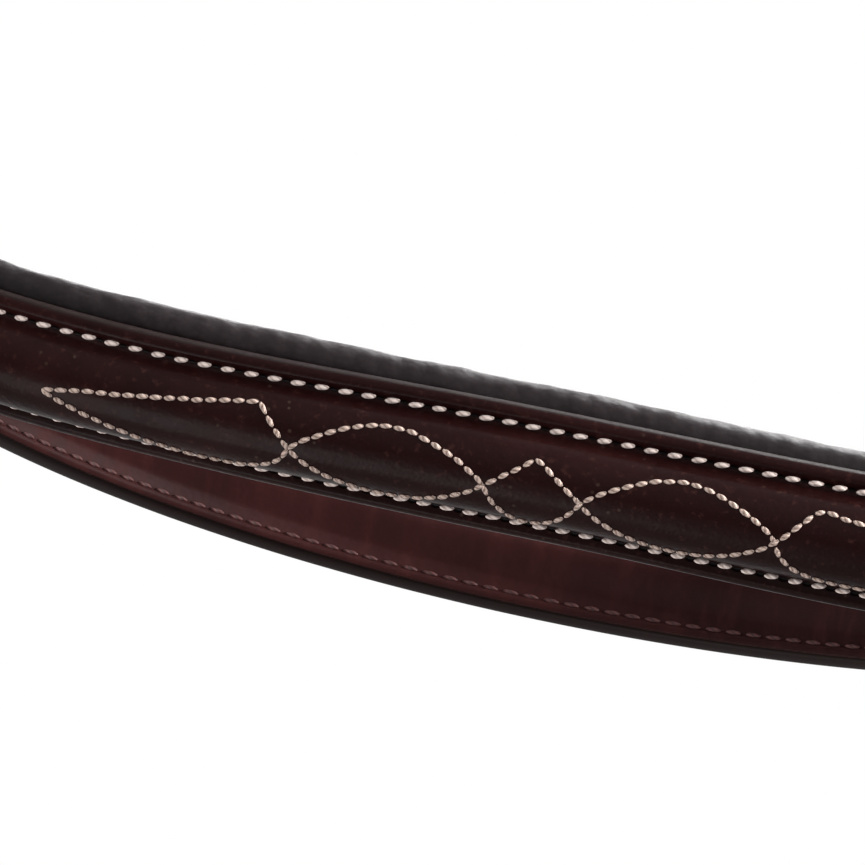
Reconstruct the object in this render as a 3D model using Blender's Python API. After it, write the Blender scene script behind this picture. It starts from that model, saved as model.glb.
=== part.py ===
"""A figure-eight bridle in its worn shape, without the horse, the bit and the reins.

Metres, +Z up, -Y to the front of the face, +X to the horse's left.
Shapes are drawn round a frame between the temples, and every piece is then moved so that
the origin lies on the underside of the crown, where the bridle rests on the poll.
"""

import math

import bmesh
import bpy
from mathutils import Matrix, Vector

MM = 0.001

# Strap leather, and the clearance kept between pieces that touch
gap = 0.3 * MM
leather = 3.0 * MM
cheek_width = 15 * MM
throat_width = 12 * MM
nose_strap_width = 13 * MM
split_width = 3 * MM
edge_round_share = 0.3

# The crown, an arch over the poll that leans back behind the ears
crown_half_span = 110 * MM
crown_rise = 80.5 * MM
crown_lean = 55 * MM
crown_ease_share = 0.12
crown_tilt = math.radians(16)
lining_thickness = 3.8 * MM
lining_lip = 1.2 * MM
lining_flat = 13 * MM
lining_slope = 5 * MM
hanger_thickness = 2.2 * MM
hanger_side_play = 0.8 * MM
split_drop = 24 * MM
crown_play = 0.6 * MM

# The browband, a raised and padded band over the forehead that droops to the front
browband_droop = math.radians(12)
browband_reach = 79 * MM
browband_power_share = 3.6
browband_width = 19 * MM
browband_end_width = 15 * MM
browband_leather = 2.5 * MM
browband_pad = 6.5 * MM
browband_pad_proud = 1.8 * MM
swell_height = 5.5 * MM
swell_width = 12.2 * MM
swell_runout = 34 * MM
loop_drop = 11 * MM
loop_height = 15 * MM
loop_leather = 2.2 * MM
loop_play = 0.5 * MM
loop_skew_room = 7 * MM

# The cheekpieces, which run in towards the bit
cheek_drop = 305 * MM
bit_half_span = 72 * MM
cheek_buckle_run = 54 * MM
bit_loop_bulge = 4.5 * MM
bit_loop_length = 24 * MM
bit_return_length = 46 * MM
stud_plate = 1.0 * MM
stud_radius = 1.5 * MM
stud_head_radius = 3.0 * MM
stud_place = 20 * MM

# The throatlatch
throat_back_angle = math.radians(38)
throat_inward_angle = math.radians(7)
throat_buckle_run = 60 * MM
throat_drop = 160 * MM

# The noseband hanger and its rings
ring_drop = 165 * MM
ring_back = 28 * MM
ring_half_span = 88 * MM
ring_radius = 17 * MM
ring_wire = 1.8 * MM
ring_strap_width = 10 * MM
ring_fold_radius = 4.3 * MM
hanger_body_length = 56 * MM

# The crossing straps, wound round the nose like two helices
nose_half_width = 68 * MM
nose_depth = 57 * MM
nose_forward = 20 * MM
nose_drop = 252 * MM
nose_taper_share = 0.24
helix_turn = math.radians(75)
helix_fall = 51 * MM
chin_fall = 42 * MM
cross_leave_angle = math.radians(30)
chin_body_length = 50 * MM

# The nose pad
pad_radius = 29 * MM
pad_leather = 2.5 * MM
pad_filling = 10 * MM
pad_play = 1.2 * MM
pad_keeper_radius = 19 * MM
pad_rivet_radius = 1.8 * MM
pad_rivet_place = 14.5 * MM

# The jowl strap
jowl_back = 124 * MM
jowl_drop = 192 * MM
jowl_inward_share = 0.5
jowl_fall_share = 0.42
jowl_body_length = 50 * MM

# Buckles: a wire frame, a tongue on its heel bar, a fixed keeper and a runner
wire = 1.3 * MM
frame_length = 14 * MM
frame_side_play = 0.8 * MM
fold_leather = 1.7 * MM
tongue_radius = 0.9 * MM
tongue_play = 0.4 * MM
keeper_leather = 1.5 * MM
keeper_height = 6.5 * MM
keeper_play = 0.35 * MM
fixed_keeper_place = 16 * MM
runner_place = 29 * MM
long_tail = 46 * MM
short_tail = 37 * MM
hole_pitch = 18 * MM
hole_width = 3.0 * MM
hole_length = 8.0 * MM
hole_side_count = 8
overrun = 2 * MM

X = Vector((1, 0, 0))

for old in list(bpy.data.objects):
    bpy.data.objects.remove(old)

# Colour, roughness and metallic value of each finish
looks = {
    "bridle_leather": ((0.050, 0.016, 0.012, 1), 0.35, 0.0),
    "lining_leather": ((0.085, 0.030, 0.022, 1), 0.60, 0.0),
    "padding": ((0.030, 0.012, 0.010, 1), 0.75, 0.0),
    "steel": ((0.72, 0.72, 0.70, 1), 0.22, 1.0),
}


def finish(name, look):
    """A material of the piece's own."""
    colour, roughness, metallic = looks[look]
    material = bpy.data.materials.new(name)
    material.use_nodes = True
    shader = material.node_tree.nodes["Principled BSDF"]
    shader.inputs["Base Color"].default_value = colour
    shader.inputs["Roughness"].default_value = roughness
    shader.inputs["Metallic"].default_value = metallic
    return material


def crown_base(turn):
    """The line of the crown's underside. A turn of 0 is the left temple, and pi is the right one."""
    height = max(math.sin(turn), 0.0)
    lean = crown_lean * (1 + crown_ease_share) * height**2 / (height + crown_ease_share)
    return Vector((crown_half_span * math.cos(turn), lean, crown_rise * height))


def crown_across(turn):
    tilt = crown_tilt * max(math.sin(turn), 0.0)
    return Vector((0, math.cos(tilt), -math.sin(tilt)))


def crown_point(turn, lift):
    """A point lifted square off the underside."""
    small = math.radians(0.5)
    along = crown_base(turn + small) - crown_base(turn - small)
    if turn < small or turn > math.pi - small:
        along = Vector((0, 0, math.cos(turn)))
    outward = crown_across(turn).cross(along).normalized()
    if outward.dot(Vector((math.cos(turn), 0, math.sin(turn)))) < 0:
        outward.negate()
    return crown_base(turn) + outward * lift


crown_width = cheek_width + split_width + throat_width
hanger_lift = lining_thickness + crown_play + hanger_thickness / 2
headpiece_lift = hanger_lift + hanger_thickness / 2 + crown_play + leather / 2

# Every layer of the crown bends at these turns, so that the layers stay parallel
half_crown_turns = [math.radians(a) for a in (0, 6, 13, 21, 29, 37, 46, 56, 66, 76, 85)]
crown_turns = half_crown_turns + [math.pi - turn for turn in reversed(half_crown_turns)]
poll_edge = crown_base(half_crown_turns[-1])
poll_rest = Vector((0, poll_edge.y, poll_edge.z))


def new_piece(name, shape, look, side=1, pivot=None):
    """Makes an object from a bmesh. A side of -1 mirrors it to the horse's right."""
    pivot = Vector(pivot) if pivot else poll_rest.copy()
    if side < 0:
        bmesh.ops.scale(shape, vec=(-1, 1, 1), verts=shape.verts)
        pivot.x = -pivot.x
    bmesh.ops.translate(shape, vec=-pivot, verts=shape.verts)
    bmesh.ops.recalc_face_normals(shape, faces=shape.faces)
    mesh = bpy.data.meshes.new(name)
    shape.to_mesh(mesh)
    shape.free()
    piece = bpy.data.objects.new(name, mesh)
    piece.location = pivot - poll_rest
    if look:
        mesh.materials.append(finish(name, look))
    bpy.context.scene.collection.objects.link(piece)
    return piece


def combine(piece, tool, operation):
    """A Boolean with a helper that stays hidden."""
    step = piece.modifiers.new(tool.name, "BOOLEAN")
    step.operation = operation
    step.object = tool
    step.solver = "EXACT"
    tool.hide_render = True
    tool.display_type = "WIRE"


def loft(shape, rings, closed=False):
    """Skins rings of equal count. An open run gets a cap at each end."""
    loops = [[shape.verts.new(point) for point in ring] for ring in rings]
    count = len(loops[0])
    following = loops[1:] + loops[:1] if closed else loops[1:]
    if not closed:
        shape.faces.new(loops[0])
        shape.faces.new(loops[-1])
    for before, after in zip(loops, following):
        for i in range(count):
            j = (i + 1) % count
            shape.faces.new((before[i], before[j], after[j], after[i]))


def frames(points, acrosses):
    """The point, across and outward directions at each station, from the route's own slope."""
    found = []
    for i, (point, across) in enumerate(zip(points, acrosses)):
        before = points[max(i - 1, 0)]
        after = points[min(i + 1, len(points) - 1)]
        along = (after - before).normalized()
        outward = across.cross(along).normalized()
        found.append((point, along.cross(outward), outward))
    return found


def strap_ring(point, across, outward, width, thickness):
    half = width / 2
    rise = thickness / 2
    rounding = thickness * edge_round_share
    corners = (
        (-half, 0),
        (rounding - half, rise),
        (half - rounding, rise),
        (half, 0),
        (half - rounding, -rise),
        (rounding - half, -rise),
    )
    return [point + across * a + outward * n for a, n in corners]


def strap(shape, points, acrosses, widths, thicknesses):
    """Flat leather with rounded edges along a route."""
    count = len(points)
    widths = widths if isinstance(widths, list) else [widths] * count
    thicknesses = thicknesses if isinstance(thicknesses, list) else [thicknesses] * count
    acrosses = acrosses if isinstance(acrosses, list) else [acrosses] * count
    rings = []
    for frame, width, thickness in zip(frames(points, acrosses), widths, thicknesses):
        rings.append(strap_ring(*frame, width, thickness))
    loft(shape, rings)


def evenly(points, count):
    """The same polyline with its points spread evenly along it."""
    runs = [0.0]
    for before, after in zip(points, points[1:]):
        runs.append(runs[-1] + (after - before).length)
    found = []
    at = 0
    for i in range(count):
        want = runs[-1] * i / (count - 1)
        while at < len(points) - 2 and runs[at + 1] < want:
            at += 1
        share = (want - runs[at]) / (runs[at + 1] - runs[at])
        found.append(points[at].lerp(points[at + 1], share))
    return found


class Seat:
    """A buckle's place: s runs along its strap away from the frame, w across, n outward."""

    def __init__(self, heel, along, outward):
        self.heel = Vector(heel)
        self.s = Vector(along).normalized()
        self.w = Vector(outward).cross(self.s).normalized()
        self.n = self.s.cross(self.w)

    def at(self, s, w=0.0, n=0.0):
        return self.heel + self.s * s + self.w * w + self.n * n

    def placed(self, centre):
        turned = Matrix((self.s, self.w, self.n)).transposed().to_4x4()
        return Matrix.Translation(centre) @ turned


def block(shape, seat, low, high):
    """A block between two corners given in a seat's own directions."""
    centre = seat.at(*[(a + b) / 2 for a, b in zip(low, high)])
    size = [b - a for a, b in zip(low, high)]
    place = seat.placed(centre) @ Matrix.Diagonal((*size, 1))
    bmesh.ops.create_cube(shape, size=1, matrix=place)


def rod(shape, start, end, radius, sides):
    """A straight round bar between two points."""
    run = end - start
    place = Matrix.Translation((start + end) / 2) @ run.to_track_quat("Z", "Y").to_matrix().to_4x4()
    bmesh.ops.create_cone(
        shape,
        cap_ends=True,
        segments=sides,
        radius1=radius,
        radius2=radius,
        depth=run.length,
        matrix=place,
    )


def wire_rings(points, square, radius, sides, closed=False):
    """Round sections along a flat path. Square is the direction at right angles to its plane."""
    rings = []
    last = len(points) - 1
    for i, point in enumerate(points):
        before = points[i - 1] if closed else points[max(i - 1, 0)]
        after = points[(i + 1) % len(points)] if closed else points[min(i + 1, last)]
        out = square.cross(after - before).normalized()
        ring = []
        for k in range(sides):
            turn = 2 * math.pi * (k + 0.5) / sides
            ring.append(point + square * radius * math.sin(turn) + out * radius * math.cos(turn))
        rings.append(ring)
    return rings


# Levels of a buckle above its strap's middle, worked out from the leather and the wire
fold_radius = wire + gap + fold_leather
over_fold = fold_radius + gap + leather / 2
over_body = leather + gap
under_toe = leather * 0.4
toe_level = under_toe + leather / 2 + gap + wire
tongue_top = toe_level + wire + gap + tongue_radius
tongue_ring = wire + gap + tongue_radius


def frame_half_width(width):
    return width / 2 + frame_side_play + wire


def add_frame(name, seat, width, side):
    """A rounded wire rectangle, which rises from the heel bar to the toe bar."""
    half = frame_half_width(width)
    bend = 2 * wire
    length = math.hypot(frame_length, toe_level)
    slope = (seat.n * toe_level - seat.s * frame_length).normalized()
    path = []
    for run, wide, first in (
        (bend, half - bend, 180),
        (length - bend, half - bend, 90),
        (length - bend, bend - half, 0),
        (bend, bend - half, -90),
    ):
        for turn in (first, first - 45, first - 90):
            angle = math.radians(turn)
            centre = seat.heel + slope * run + seat.w * wide
            path.append(centre + slope * bend * math.cos(angle) + seat.w * bend * math.sin(angle))
    shape = bmesh.new()
    square = slope.cross(seat.w).normalized()
    loft(shape, wire_rings(path, square, wire, 6, closed=True), closed=True)
    return new_piece(name, shape, "steel", side)


def add_tongue(name, seat, side):
    """A wire tongue: an eye round the heel bar, a rise through the hole and a tip on the toe bar."""
    points = []
    for turn in (262, 220, 180, 140, 100, 60, 20):
        angle = math.radians(turn)
        points.append(seat.at(tongue_ring * math.sin(angle), 0, tongue_ring * math.cos(angle)))
    rise = tongue_top - tongue_ring
    for run_share, rise_share in ((0.1, 0.02), (0.22, 0.08), (0.4, 0.42), (0.56, 0.86), (0.68, 1), (1, 1)):
        reach = (frame_length + wire + tongue_radius) * run_share
        points.append(seat.at(-reach, 0, tongue_ring + rise * rise_share))
    shape = bmesh.new()
    loft(shape, wire_rings(points, seat.w, tongue_radius, 6))
    return new_piece(name, shape, "steel", side, seat.heel)


def add_keeper(name, seat, place, width, low, high, side, look="bridle_leather", height=None):
    """A leather loop round everything between two levels."""
    tall = height or keeper_height
    half = width / 2 + keeper_play
    bottom = low - keeper_play
    top = high + keeper_play
    cut = keeper_leather * 0.6
    inner = (
        (-half, top - cut), (cut - half, top), (half - cut, top), (half, top - cut),
        (half, bottom + cut), (half - cut, bottom), (cut - half, bottom), (-half, bottom + cut),
    )
    centre = (top + bottom) / 2
    rings = []
    for w, n in inner:
        out_w = w + math.copysign(keeper_leather, w)
        out_n = n + math.copysign(keeper_leather, n - centre)
        if abs(w) == half:
            out_n = n
        if n in (top, bottom):
            out_w = w
        rings.append([
            seat.at(place - tall / 2, w, n),
            seat.at(place - tall / 2, out_w, out_n),
            seat.at(place + tall / 2, out_w, out_n),
            seat.at(place + tall / 2, w, n),
        ])
    shape = bmesh.new()
    loft(shape, rings, closed=True)
    return new_piece(name, shape, look, side)


def billet_points(seat, start, tail):
    """A billet's run through its buckle: from a start before the frame, over the fold, to its tail."""
    stations = (
        (-2 * frame_length, 0),
        (-1.3 * frame_length, under_toe * 0.5),
        (-frame_length, under_toe),
        (-fold_radius - wire, over_fold * 0.86),
        (-fold_radius * 0.4, over_fold),
        (fold_radius, over_fold),
        (fixed_keeper_place - keeper_height, over_body * 1.08),
        (fixed_keeper_place - keeper_height * 0.6, over_body),
        (tail - leather * 4, over_body),
        (tail - leather, over_body),
        (tail, over_body),
    )
    return [seat.at(s, 0, n) for s, n in stations if s > start]


def billet_widths(width, count):
    """Full width, then a tip that narrows over the last two stations."""
    return [width] * (count - 2) + [width * 0.8, width * 0.35]


def cut_tongue_holes(billet, name, seat, side, first, last):
    """The tongue's own hole lies in the frame. The spare holes follow it at the hole pitch."""
    shape = bmesh.new()
    middle = -fold_radius * 0.35 - hole_length / 2
    level = over_fold + leather
    longer = Matrix.Diagonal((hole_length / hole_width, 1, 1, 1))
    for number in range(first, last + 1):
        turned = seat.placed(seat.at(middle + number * hole_pitch)) @ longer
        bmesh.ops.create_cone(
            shape,
            cap_ends=True,
            segments=hole_side_count,
            radius1=hole_width / 2,
            radius2=hole_width / 2,
            depth=4 * level,
            matrix=turned,
        )
    combine(billet, new_piece(name, shape, None, side), "DIFFERENCE")


def add_fold(piece, name, seat, width, side, radius, hole_radius, slot):
    """Wraps a strap's end round a bar: a round fold, its bore and, for a buckle, the tongue's slot."""
    half = width / 2 - gap / 2
    shape = bmesh.new()
    rod(shape, seat.at(0, -half), seat.at(0, half), radius, 12)
    combine(piece, new_piece(name + "_fold", shape, None, side), "UNION")
    shape = bmesh.new()
    rod(shape, seat.at(0, -width), seat.at(0, width), hole_radius, 12)
    combine(piece, new_piece(name + "_bore", shape, None, side), "DIFFERENCE")
    if slot:
        shape = bmesh.new()
        wide = tongue_radius + tongue_play
        reach = tongue_ring + tongue_radius + tongue_play
        block(shape, seat, (-2 * reach, -wide, -2 * reach), (reach, wide, 2 * reach))
        combine(piece, new_piece(name + "_slot", shape, None, side), "DIFFERENCE")


def folded_start(run):
    """Stations of a strap that leaves a fold: how far along, and how thick there."""
    thick = 2 * fold_radius
    shares = ((0.25, 0.95), (1.4, 0.86), (2.6, 0), (3.4, 0))
    return [(fold_radius * a, leather + (thick - leather) * b) for a, b in shares if fold_radius * a < run]


def add_buckle(label, seat, width, side, tail):
    """The frame, the tongue, the fixed keeper and the runner of one buckle."""
    add_frame(label + "_buckle_frame", seat, width, side)
    add_tongue(label + "_buckle_tongue", seat, side)
    low = -leather / 2
    high = over_body + leather / 2
    add_keeper(label + "_keeper", seat, fixed_keeper_place, width, low, high, side)
    add_keeper(label + "_runner", seat, runner_place, width, low, high, side)


def side_word(side):
    return "left" if side > 0 else "right"


# The side lines below the temples. Each seat's s runs down, and its n points outward.
temple_x = crown_half_span + headpiece_lift
hanger_x = crown_half_span + hanger_lift
cheek_top = Vector((temple_x, (cheek_width - crown_width) / 2, -split_drop))
cheek_bottom = Vector((bit_half_span, cheek_top.y, -cheek_drop))
cheek_way = (cheek_bottom - cheek_top).normalized()
cheek_seat = Seat(cheek_top + cheek_way * cheek_buckle_run, cheek_way, X)
cheek_length = (cheek_bottom - cheek_seat.heel).length

throat_top = Vector((temple_x, (crown_width - throat_width) / 2, -split_drop))
throat_way = Vector((
    -math.sin(throat_inward_angle),
    math.sin(throat_back_angle),
    -math.cos(throat_back_angle),
)).normalized()
throat_seat = Seat(throat_top + throat_way * throat_buckle_run, throat_way, X)

ring_centre = Vector((ring_half_span, ring_back, -ring_drop))
hanger_top = Vector((hanger_x, 0, -split_drop))
hanger_way = (ring_centre - hanger_top).normalized()
ring_seat = Seat(ring_centre, hanger_way, X)
hanger_eye = ring_seat.at(-ring_radius)
hanger_seat = Seat(hanger_eye - hanger_way * hanger_body_length, hanger_way, X)

# Directions in the plane of the ring: forward and down to the nose, and back to the jaw
ring_forward = ring_seat.w if ring_seat.w.y < 0 else -ring_seat.w
cross_way = ring_forward * math.cos(cross_leave_angle) + ring_seat.s * math.sin(cross_leave_angle)
cross_eye = ring_centre + cross_way * ring_radius
jowl_way = -ring_forward
jowl_eye = ring_centre + jowl_way * ring_radius


def add_headpiece():
    """One strap over the poll, split below the temples into a cheek billet and a throat billet."""
    left = [Vector((temple_x, 0, -split_drop * share)) for share in (1, 0.25)]
    points = left + [crown_point(turn, headpiece_lift) for turn in crown_turns]
    points += [flipped(point) for point in reversed(left)]
    acrosses = [crown_across(turn) for turn in [0, 0] + crown_turns + [0, 0]]
    shape = bmesh.new()
    strap(shape, points, acrosses, crown_width, leather)
    piece = new_piece("headpiece", shape, "bridle_leather")
    for side in (1, -1):
        for label, top, seat, width, tail in (
            ("cheek", cheek_top, cheek_seat, cheek_width, long_tail),
            ("throat", throat_top, throat_seat, throat_width, long_tail),
        ):
            before = (seat.heel - top).length
            run = [top + Vector((0, 0, split_drop * 0.3)), top] + billet_points(seat, -before, tail)
            acrosses = [Vector((0, 1, 0))] + [seat.w] * (len(run) - 1)
            shape = bmesh.new()
            thick = [leather * 0.9] + [leather] * (len(run) - 1)
            widths = billet_widths(width, len(run))
            widths[0] = width * 0.98
            strap(shape, run, acrosses, widths, thick)
            billet = new_piece(f"{label}_billet_{side_word(side)}", shape, None, side)
            cut_tongue_holes(billet, f"{label}_holes_{side_word(side)}", seat, side, -1, 2)
            combine(piece, billet, "UNION")


def crown_lining_outline():
    """The lining's section: a channel for the hanger above, soft padding below and a thin lip each side."""
    channel = nose_strap_width / 2 + hanger_side_play
    lip_top = headpiece_lift - leather / 2 - gap
    edge = crown_width / 2
    half = (
        (channel, lining_thickness),
        (channel + lining_lip * 0.8, lip_top),
        (edge - lining_lip / 2, lip_top),
        (edge, lip_top - lining_lip / 2),
        (edge - lining_lip / 2, lip_top - lining_lip),
        (lining_flat / 2 + lining_slope, lip_top - lining_lip * 1.1),
        (lining_flat / 2 + lining_slope * 0.7, lining_thickness * 0.55),
        (lining_flat / 2 + lining_slope * 0.3, lining_thickness * 0.12),
        (lining_flat / 2, 0),
    )
    return list(half) + [(-w, n) for w, n in reversed(half)]


def add_crown_layers():
    """The lining under the crown, and the noseband hanger in the channel between the two."""
    points = [crown_point(turn, 0) for turn in crown_turns]
    acrosses = [crown_across(turn) for turn in crown_turns]
    rings = []
    for point, across, outward in frames(points, acrosses)[1:-1]:
        rings.append([point + across * w + outward * n for w, n in crown_lining_outline()])
    shape = bmesh.new()
    loft(shape, rings)
    new_piece("headpiece_lining", shape, "lining_leather")

    points = [crown_point(turn, hanger_lift) for turn in crown_turns]
    acrosses = [crown_across(turn) for turn in crown_turns]
    left = [hanger_top, hanger_top + Vector((0, 0, split_drop * 0.75))]
    eye_points, eye_widths, eye_thick = from_ring(hanger_eye, -hanger_way, nose_strap_width)
    right_top = flipped(hanger_top)
    right = [right_top + Vector((0, 0, split_drop * 0.75)), right_top]
    right += [right_top.lerp(flipped(hanger_eye), share) for share in (0.3, 0.7)]
    right += [flipped(point) for point in reversed(eye_points)]
    before = (hanger_seat.heel - hanger_top).length
    billet = list(reversed(billet_points(hanger_seat, -before, short_tail)))
    run = billet + left + points + right
    billet_across = [hanger_seat.w] * (len(billet) + 1)
    right_across = flipped(hanger_seat.w)
    all_across = billet_across + [crown_across(0)] + acrosses + [crown_across(0)] + [right_across] * 6
    widths = list(reversed(billet_widths(nose_strap_width, len(billet))))
    widths += [nose_strap_width] * (len(run) - len(billet) - 3) + list(reversed(eye_widths))
    thick = [leather] * len(billet) + [hanger_thickness] * (len(run) - len(billet) - 3)
    thick += list(reversed(eye_thick))
    shape = bmesh.new()
    strap(shape, run, all_across, widths, thick)
    piece = new_piece("noseband_hanger", shape, "bridle_leather")
    add_ring_fold(piece, "hanger_ring", hanger_eye, -hanger_way, -1)
    cut_tongue_holes(piece, "hanger_holes", hanger_seat, 1, -2, 1)


def hermite(start, start_pull, end, end_pull, steps):
    """A curve between two points with a given pull at each, without its first point."""
    found = []
    for step in range(1, steps + 1):
        t = step / steps
        keep = 2 * t**3 - 3 * t**2 + 1
        found.append(
            start * keep
            + start_pull * (t**3 - 2 * t**2 + t)
            + end * (1 - keep)
            + end_pull * (t**3 - t**2)
        )
    return found


def flipped(point):
    return Vector((-point.x, point.y, point.z))


def add_cheekpiece(side):
    """Folded round its buckle above, and turned up through a stud and keepers round the bit below."""
    word = side_word(side)
    seat = cheek_seat
    turn_start = cheek_length - bit_loop_length
    back = -(leather + 2 * gap + stud_plate)
    swell = bit_loop_bulge - back / 2
    route = [(s, 0) for s, _ in folded_start(cheek_length)]
    route += [(cheek_length * 0.4, 0), (turn_start, 0)]
    loop_shares = ((0.25, 0.68), (0.5, 0.96), (0.76, 0.86), (0.94, 0.42))
    front = [(turn_start + bit_loop_length * a, back / 2 + swell * b) for a, b in loop_shares]
    rear = [(s, back - n) for s, n in reversed(front)]
    route += front + rear + [(turn_start, back)]
    route += [(turn_start - bit_return_length * share, back) for share in (0.5, 0.9, 1)]
    points = [seat.at(s, 0, n) for s, n in route]
    thick = [t for _, t in folded_start(cheek_length)]
    thick += [leather] * (len(points) - len(thick))
    widths = [cheek_width] * (len(points) - 2) + [cheek_width * 0.85, cheek_width * 0.45]
    shape = bmesh.new()
    strap(shape, points, seat.w, widths, thick)
    piece = new_piece(f"cheekpiece_{word}", shape, "bridle_leather", side)
    add_fold(piece, f"cheek_{word}", seat, cheek_width, side, fold_radius, wire + gap, True)

    place = turn_start - stud_place
    outer = back - leather / 2
    shape = bmesh.new()
    start = seat.at(place, 0, outer - overrun)
    rod(shape, start, seat.at(place, 0, back + leather / 2 + gap), stud_radius + gap, 8)
    combine(piece, new_piece(f"stud_hole_{word}", shape, None, side), "DIFFERENCE")
    plate_low = -leather / 2 - gap - stud_plate
    shape = bmesh.new()
    rings = []
    for n, radius, shift in (
        (plate_low + stud_plate, stud_head_radius + gap, 0),
        (plate_low, stud_head_radius + gap, 0),
        (plate_low, stud_radius, 0),
        (outer - gap, stud_radius, 0),
        (outer - gap, stud_head_radius, -stud_radius),
        (outer - gap - stud_plate, stud_head_radius * 0.7, -stud_radius),
    ):
        ring = []
        for k in range(8):
            turn = math.pi * (2 * k + 1) / 8
            ring.append(seat.at(place + shift + radius * math.cos(turn), radius * math.sin(turn), n))
        rings.append(ring)
    loft(shape, rings)
    new_piece(f"hook_stud_{word}", shape, "steel", side)
    upper_keeper = turn_start - 2 * stud_place + keeper_height
    for label, at in (("lower", turn_start - keeper_height), ("upper", upper_keeper)):
        add_keeper(f"bit_keeper_{label}_{word}", seat, at, cheek_width, outer, leather / 2, side)
    add_buckle(f"cheek_{word}", seat, cheek_width, side, long_tail)


def add_throatlatch():
    """One strap under the throat, with a buckle at each end."""
    seat = throat_seat
    straight = runner_place + 3 * keeper_height
    stations = folded_start(straight) + [(straight * 0.6, leather), (straight, leather)]
    left = [seat.at(s) for s, _ in stations]
    fall = (throat_drop - split_drop) / math.cos(throat_back_angle)
    bottom = throat_top + Vector((0, math.sin(throat_back_angle), -math.cos(throat_back_angle))) * fall
    bottom.x = 0
    pull = (bottom - left[-1]).length * 1.17
    half = left + hermite(left[-1], seat.s * pull, bottom, -X * pull, 7)
    points = half + [flipped(point) for point in reversed(half[:-1])]
    thick = [t for _, t in stations] + [leather] * (len(half) - len(stations))
    thick += list(reversed(thick[:-1]))
    across = Vector((0, math.cos(throat_back_angle), math.sin(throat_back_angle)))
    shape = bmesh.new()
    strap(shape, points, across, throat_width, thick)
    piece = new_piece("throatlatch", shape, "bridle_leather")
    for side in (1, -1):
        add_fold(piece, f"throat_{side_word(side)}", seat, throat_width, side, fold_radius, wire + gap, True)
        add_buckle(f"throat_{side_word(side)}", seat, throat_width, side, long_tail)


def ring_path(count):
    points = []
    for k in range(count):
        turn = 2 * math.pi * (k + 0.5) / count
        way = ring_seat.s * math.cos(turn) + ring_seat.w * math.sin(turn)
        points.append(ring_centre + way * ring_radius)
    return points


def add_ring(side):
    shape = bmesh.new()
    loft(shape, wire_rings(ring_path(24), ring_seat.n, ring_wire, 8, closed=True), closed=True)
    new_piece(f"noseband_ring_{side_word(side)}", shape, "steel", side, ring_centre)


def add_ring_fold(piece, name, eye, way, side):
    """Wraps a strap's end round the ring: a round fold with the ring's path cut out of it."""
    tangent = ring_seat.n.cross(way).normalized()
    half = ring_strap_width / 2 - gap / 2
    shape = bmesh.new()
    rod(shape, eye - tangent * half, eye + tangent * half, ring_fold_radius, 12)
    combine(piece, new_piece(name + "_fold", shape, None, side), "UNION")
    shape = bmesh.new()
    loft(shape, wire_rings(ring_path(24), ring_seat.n, ring_wire + gap, 8, closed=True), closed=True)
    combine(piece, new_piece(name + "_bore", shape, None, side), "DIFFERENCE")


def from_ring(eye, way, full_width):
    """Stations that leave a ring fold: points, widths and thicknesses."""
    shares = ((0.2, 0.9), (1.3, 0.8), (2.8, 0))
    thick = 2 * ring_fold_radius
    points = [eye + way * ring_fold_radius * a for a, _ in shares]
    widths = [ring_strap_width, ring_strap_width, full_width]
    return points, widths, [leather + (thick - leather) * b for _, b in shares]


def add_hanger_body():
    """The short strap between the hanger's buckle and the left ring."""
    seat = hanger_seat
    end_points, end_widths, end_thick = from_ring(hanger_eye, -hanger_way, nose_strap_width)
    stations = folded_start(hanger_body_length)
    points = [seat.at(s) for s, _ in stations] + list(reversed(end_points))
    widths = [nose_strap_width] * len(stations) + list(reversed(end_widths))
    thick = [t for _, t in stations] + list(reversed(end_thick))
    shape = bmesh.new()
    strap(shape, points, seat.w, widths, thick)
    piece = new_piece("noseband_hanger_point", shape, "bridle_leather")
    add_fold(piece, "hanger_point", seat, nose_strap_width, 1, fold_radius, wire + gap, True)
    add_ring_fold(piece, "hanger_point_ring", hanger_eye, -hanger_way, 1)
    add_buckle("noseband", seat, nose_strap_width, 1, short_tail)


def nose_point(turn, lift=0.0):
    """A point of the nose's outline. A turn of 0 is the bridge, and pi is the chin groove."""
    round_turn = min(abs(turn), 2 * math.pi - abs(turn))
    if turn > -helix_turn:
        fall = -helix_fall * turn / helix_turn
    else:
        share = (round_turn - helix_turn) / (math.pi - helix_turn)
        fall = helix_fall + chin_fall * math.sin(share * math.pi / 2)
    half = nose_half_width - nose_taper_share * fall + lift
    return Vector((
        half * math.sin(turn),
        -nose_forward - (nose_depth + lift) * math.cos(turn),
        -nose_drop - fall,
    ))


chin_heel_turn = -math.radians(230)
chin_end_turn = -math.radians(172)
chin_heel = nose_point(chin_heel_turn)
chin_seat = Seat(chin_heel, nose_point(chin_end_turn) - chin_heel, Vector((chin_heel.x, chin_heel.y, 0)))


def nose_across(turn):
    """Across the helix, square to its slope and to the nose."""
    small = math.radians(1)
    along = (nose_point(turn - small) - nose_point(turn + small)).normalized()
    outward = Vector((math.sin(turn), -math.cos(turn), 0))
    return along.cross(outward).normalized()


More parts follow.
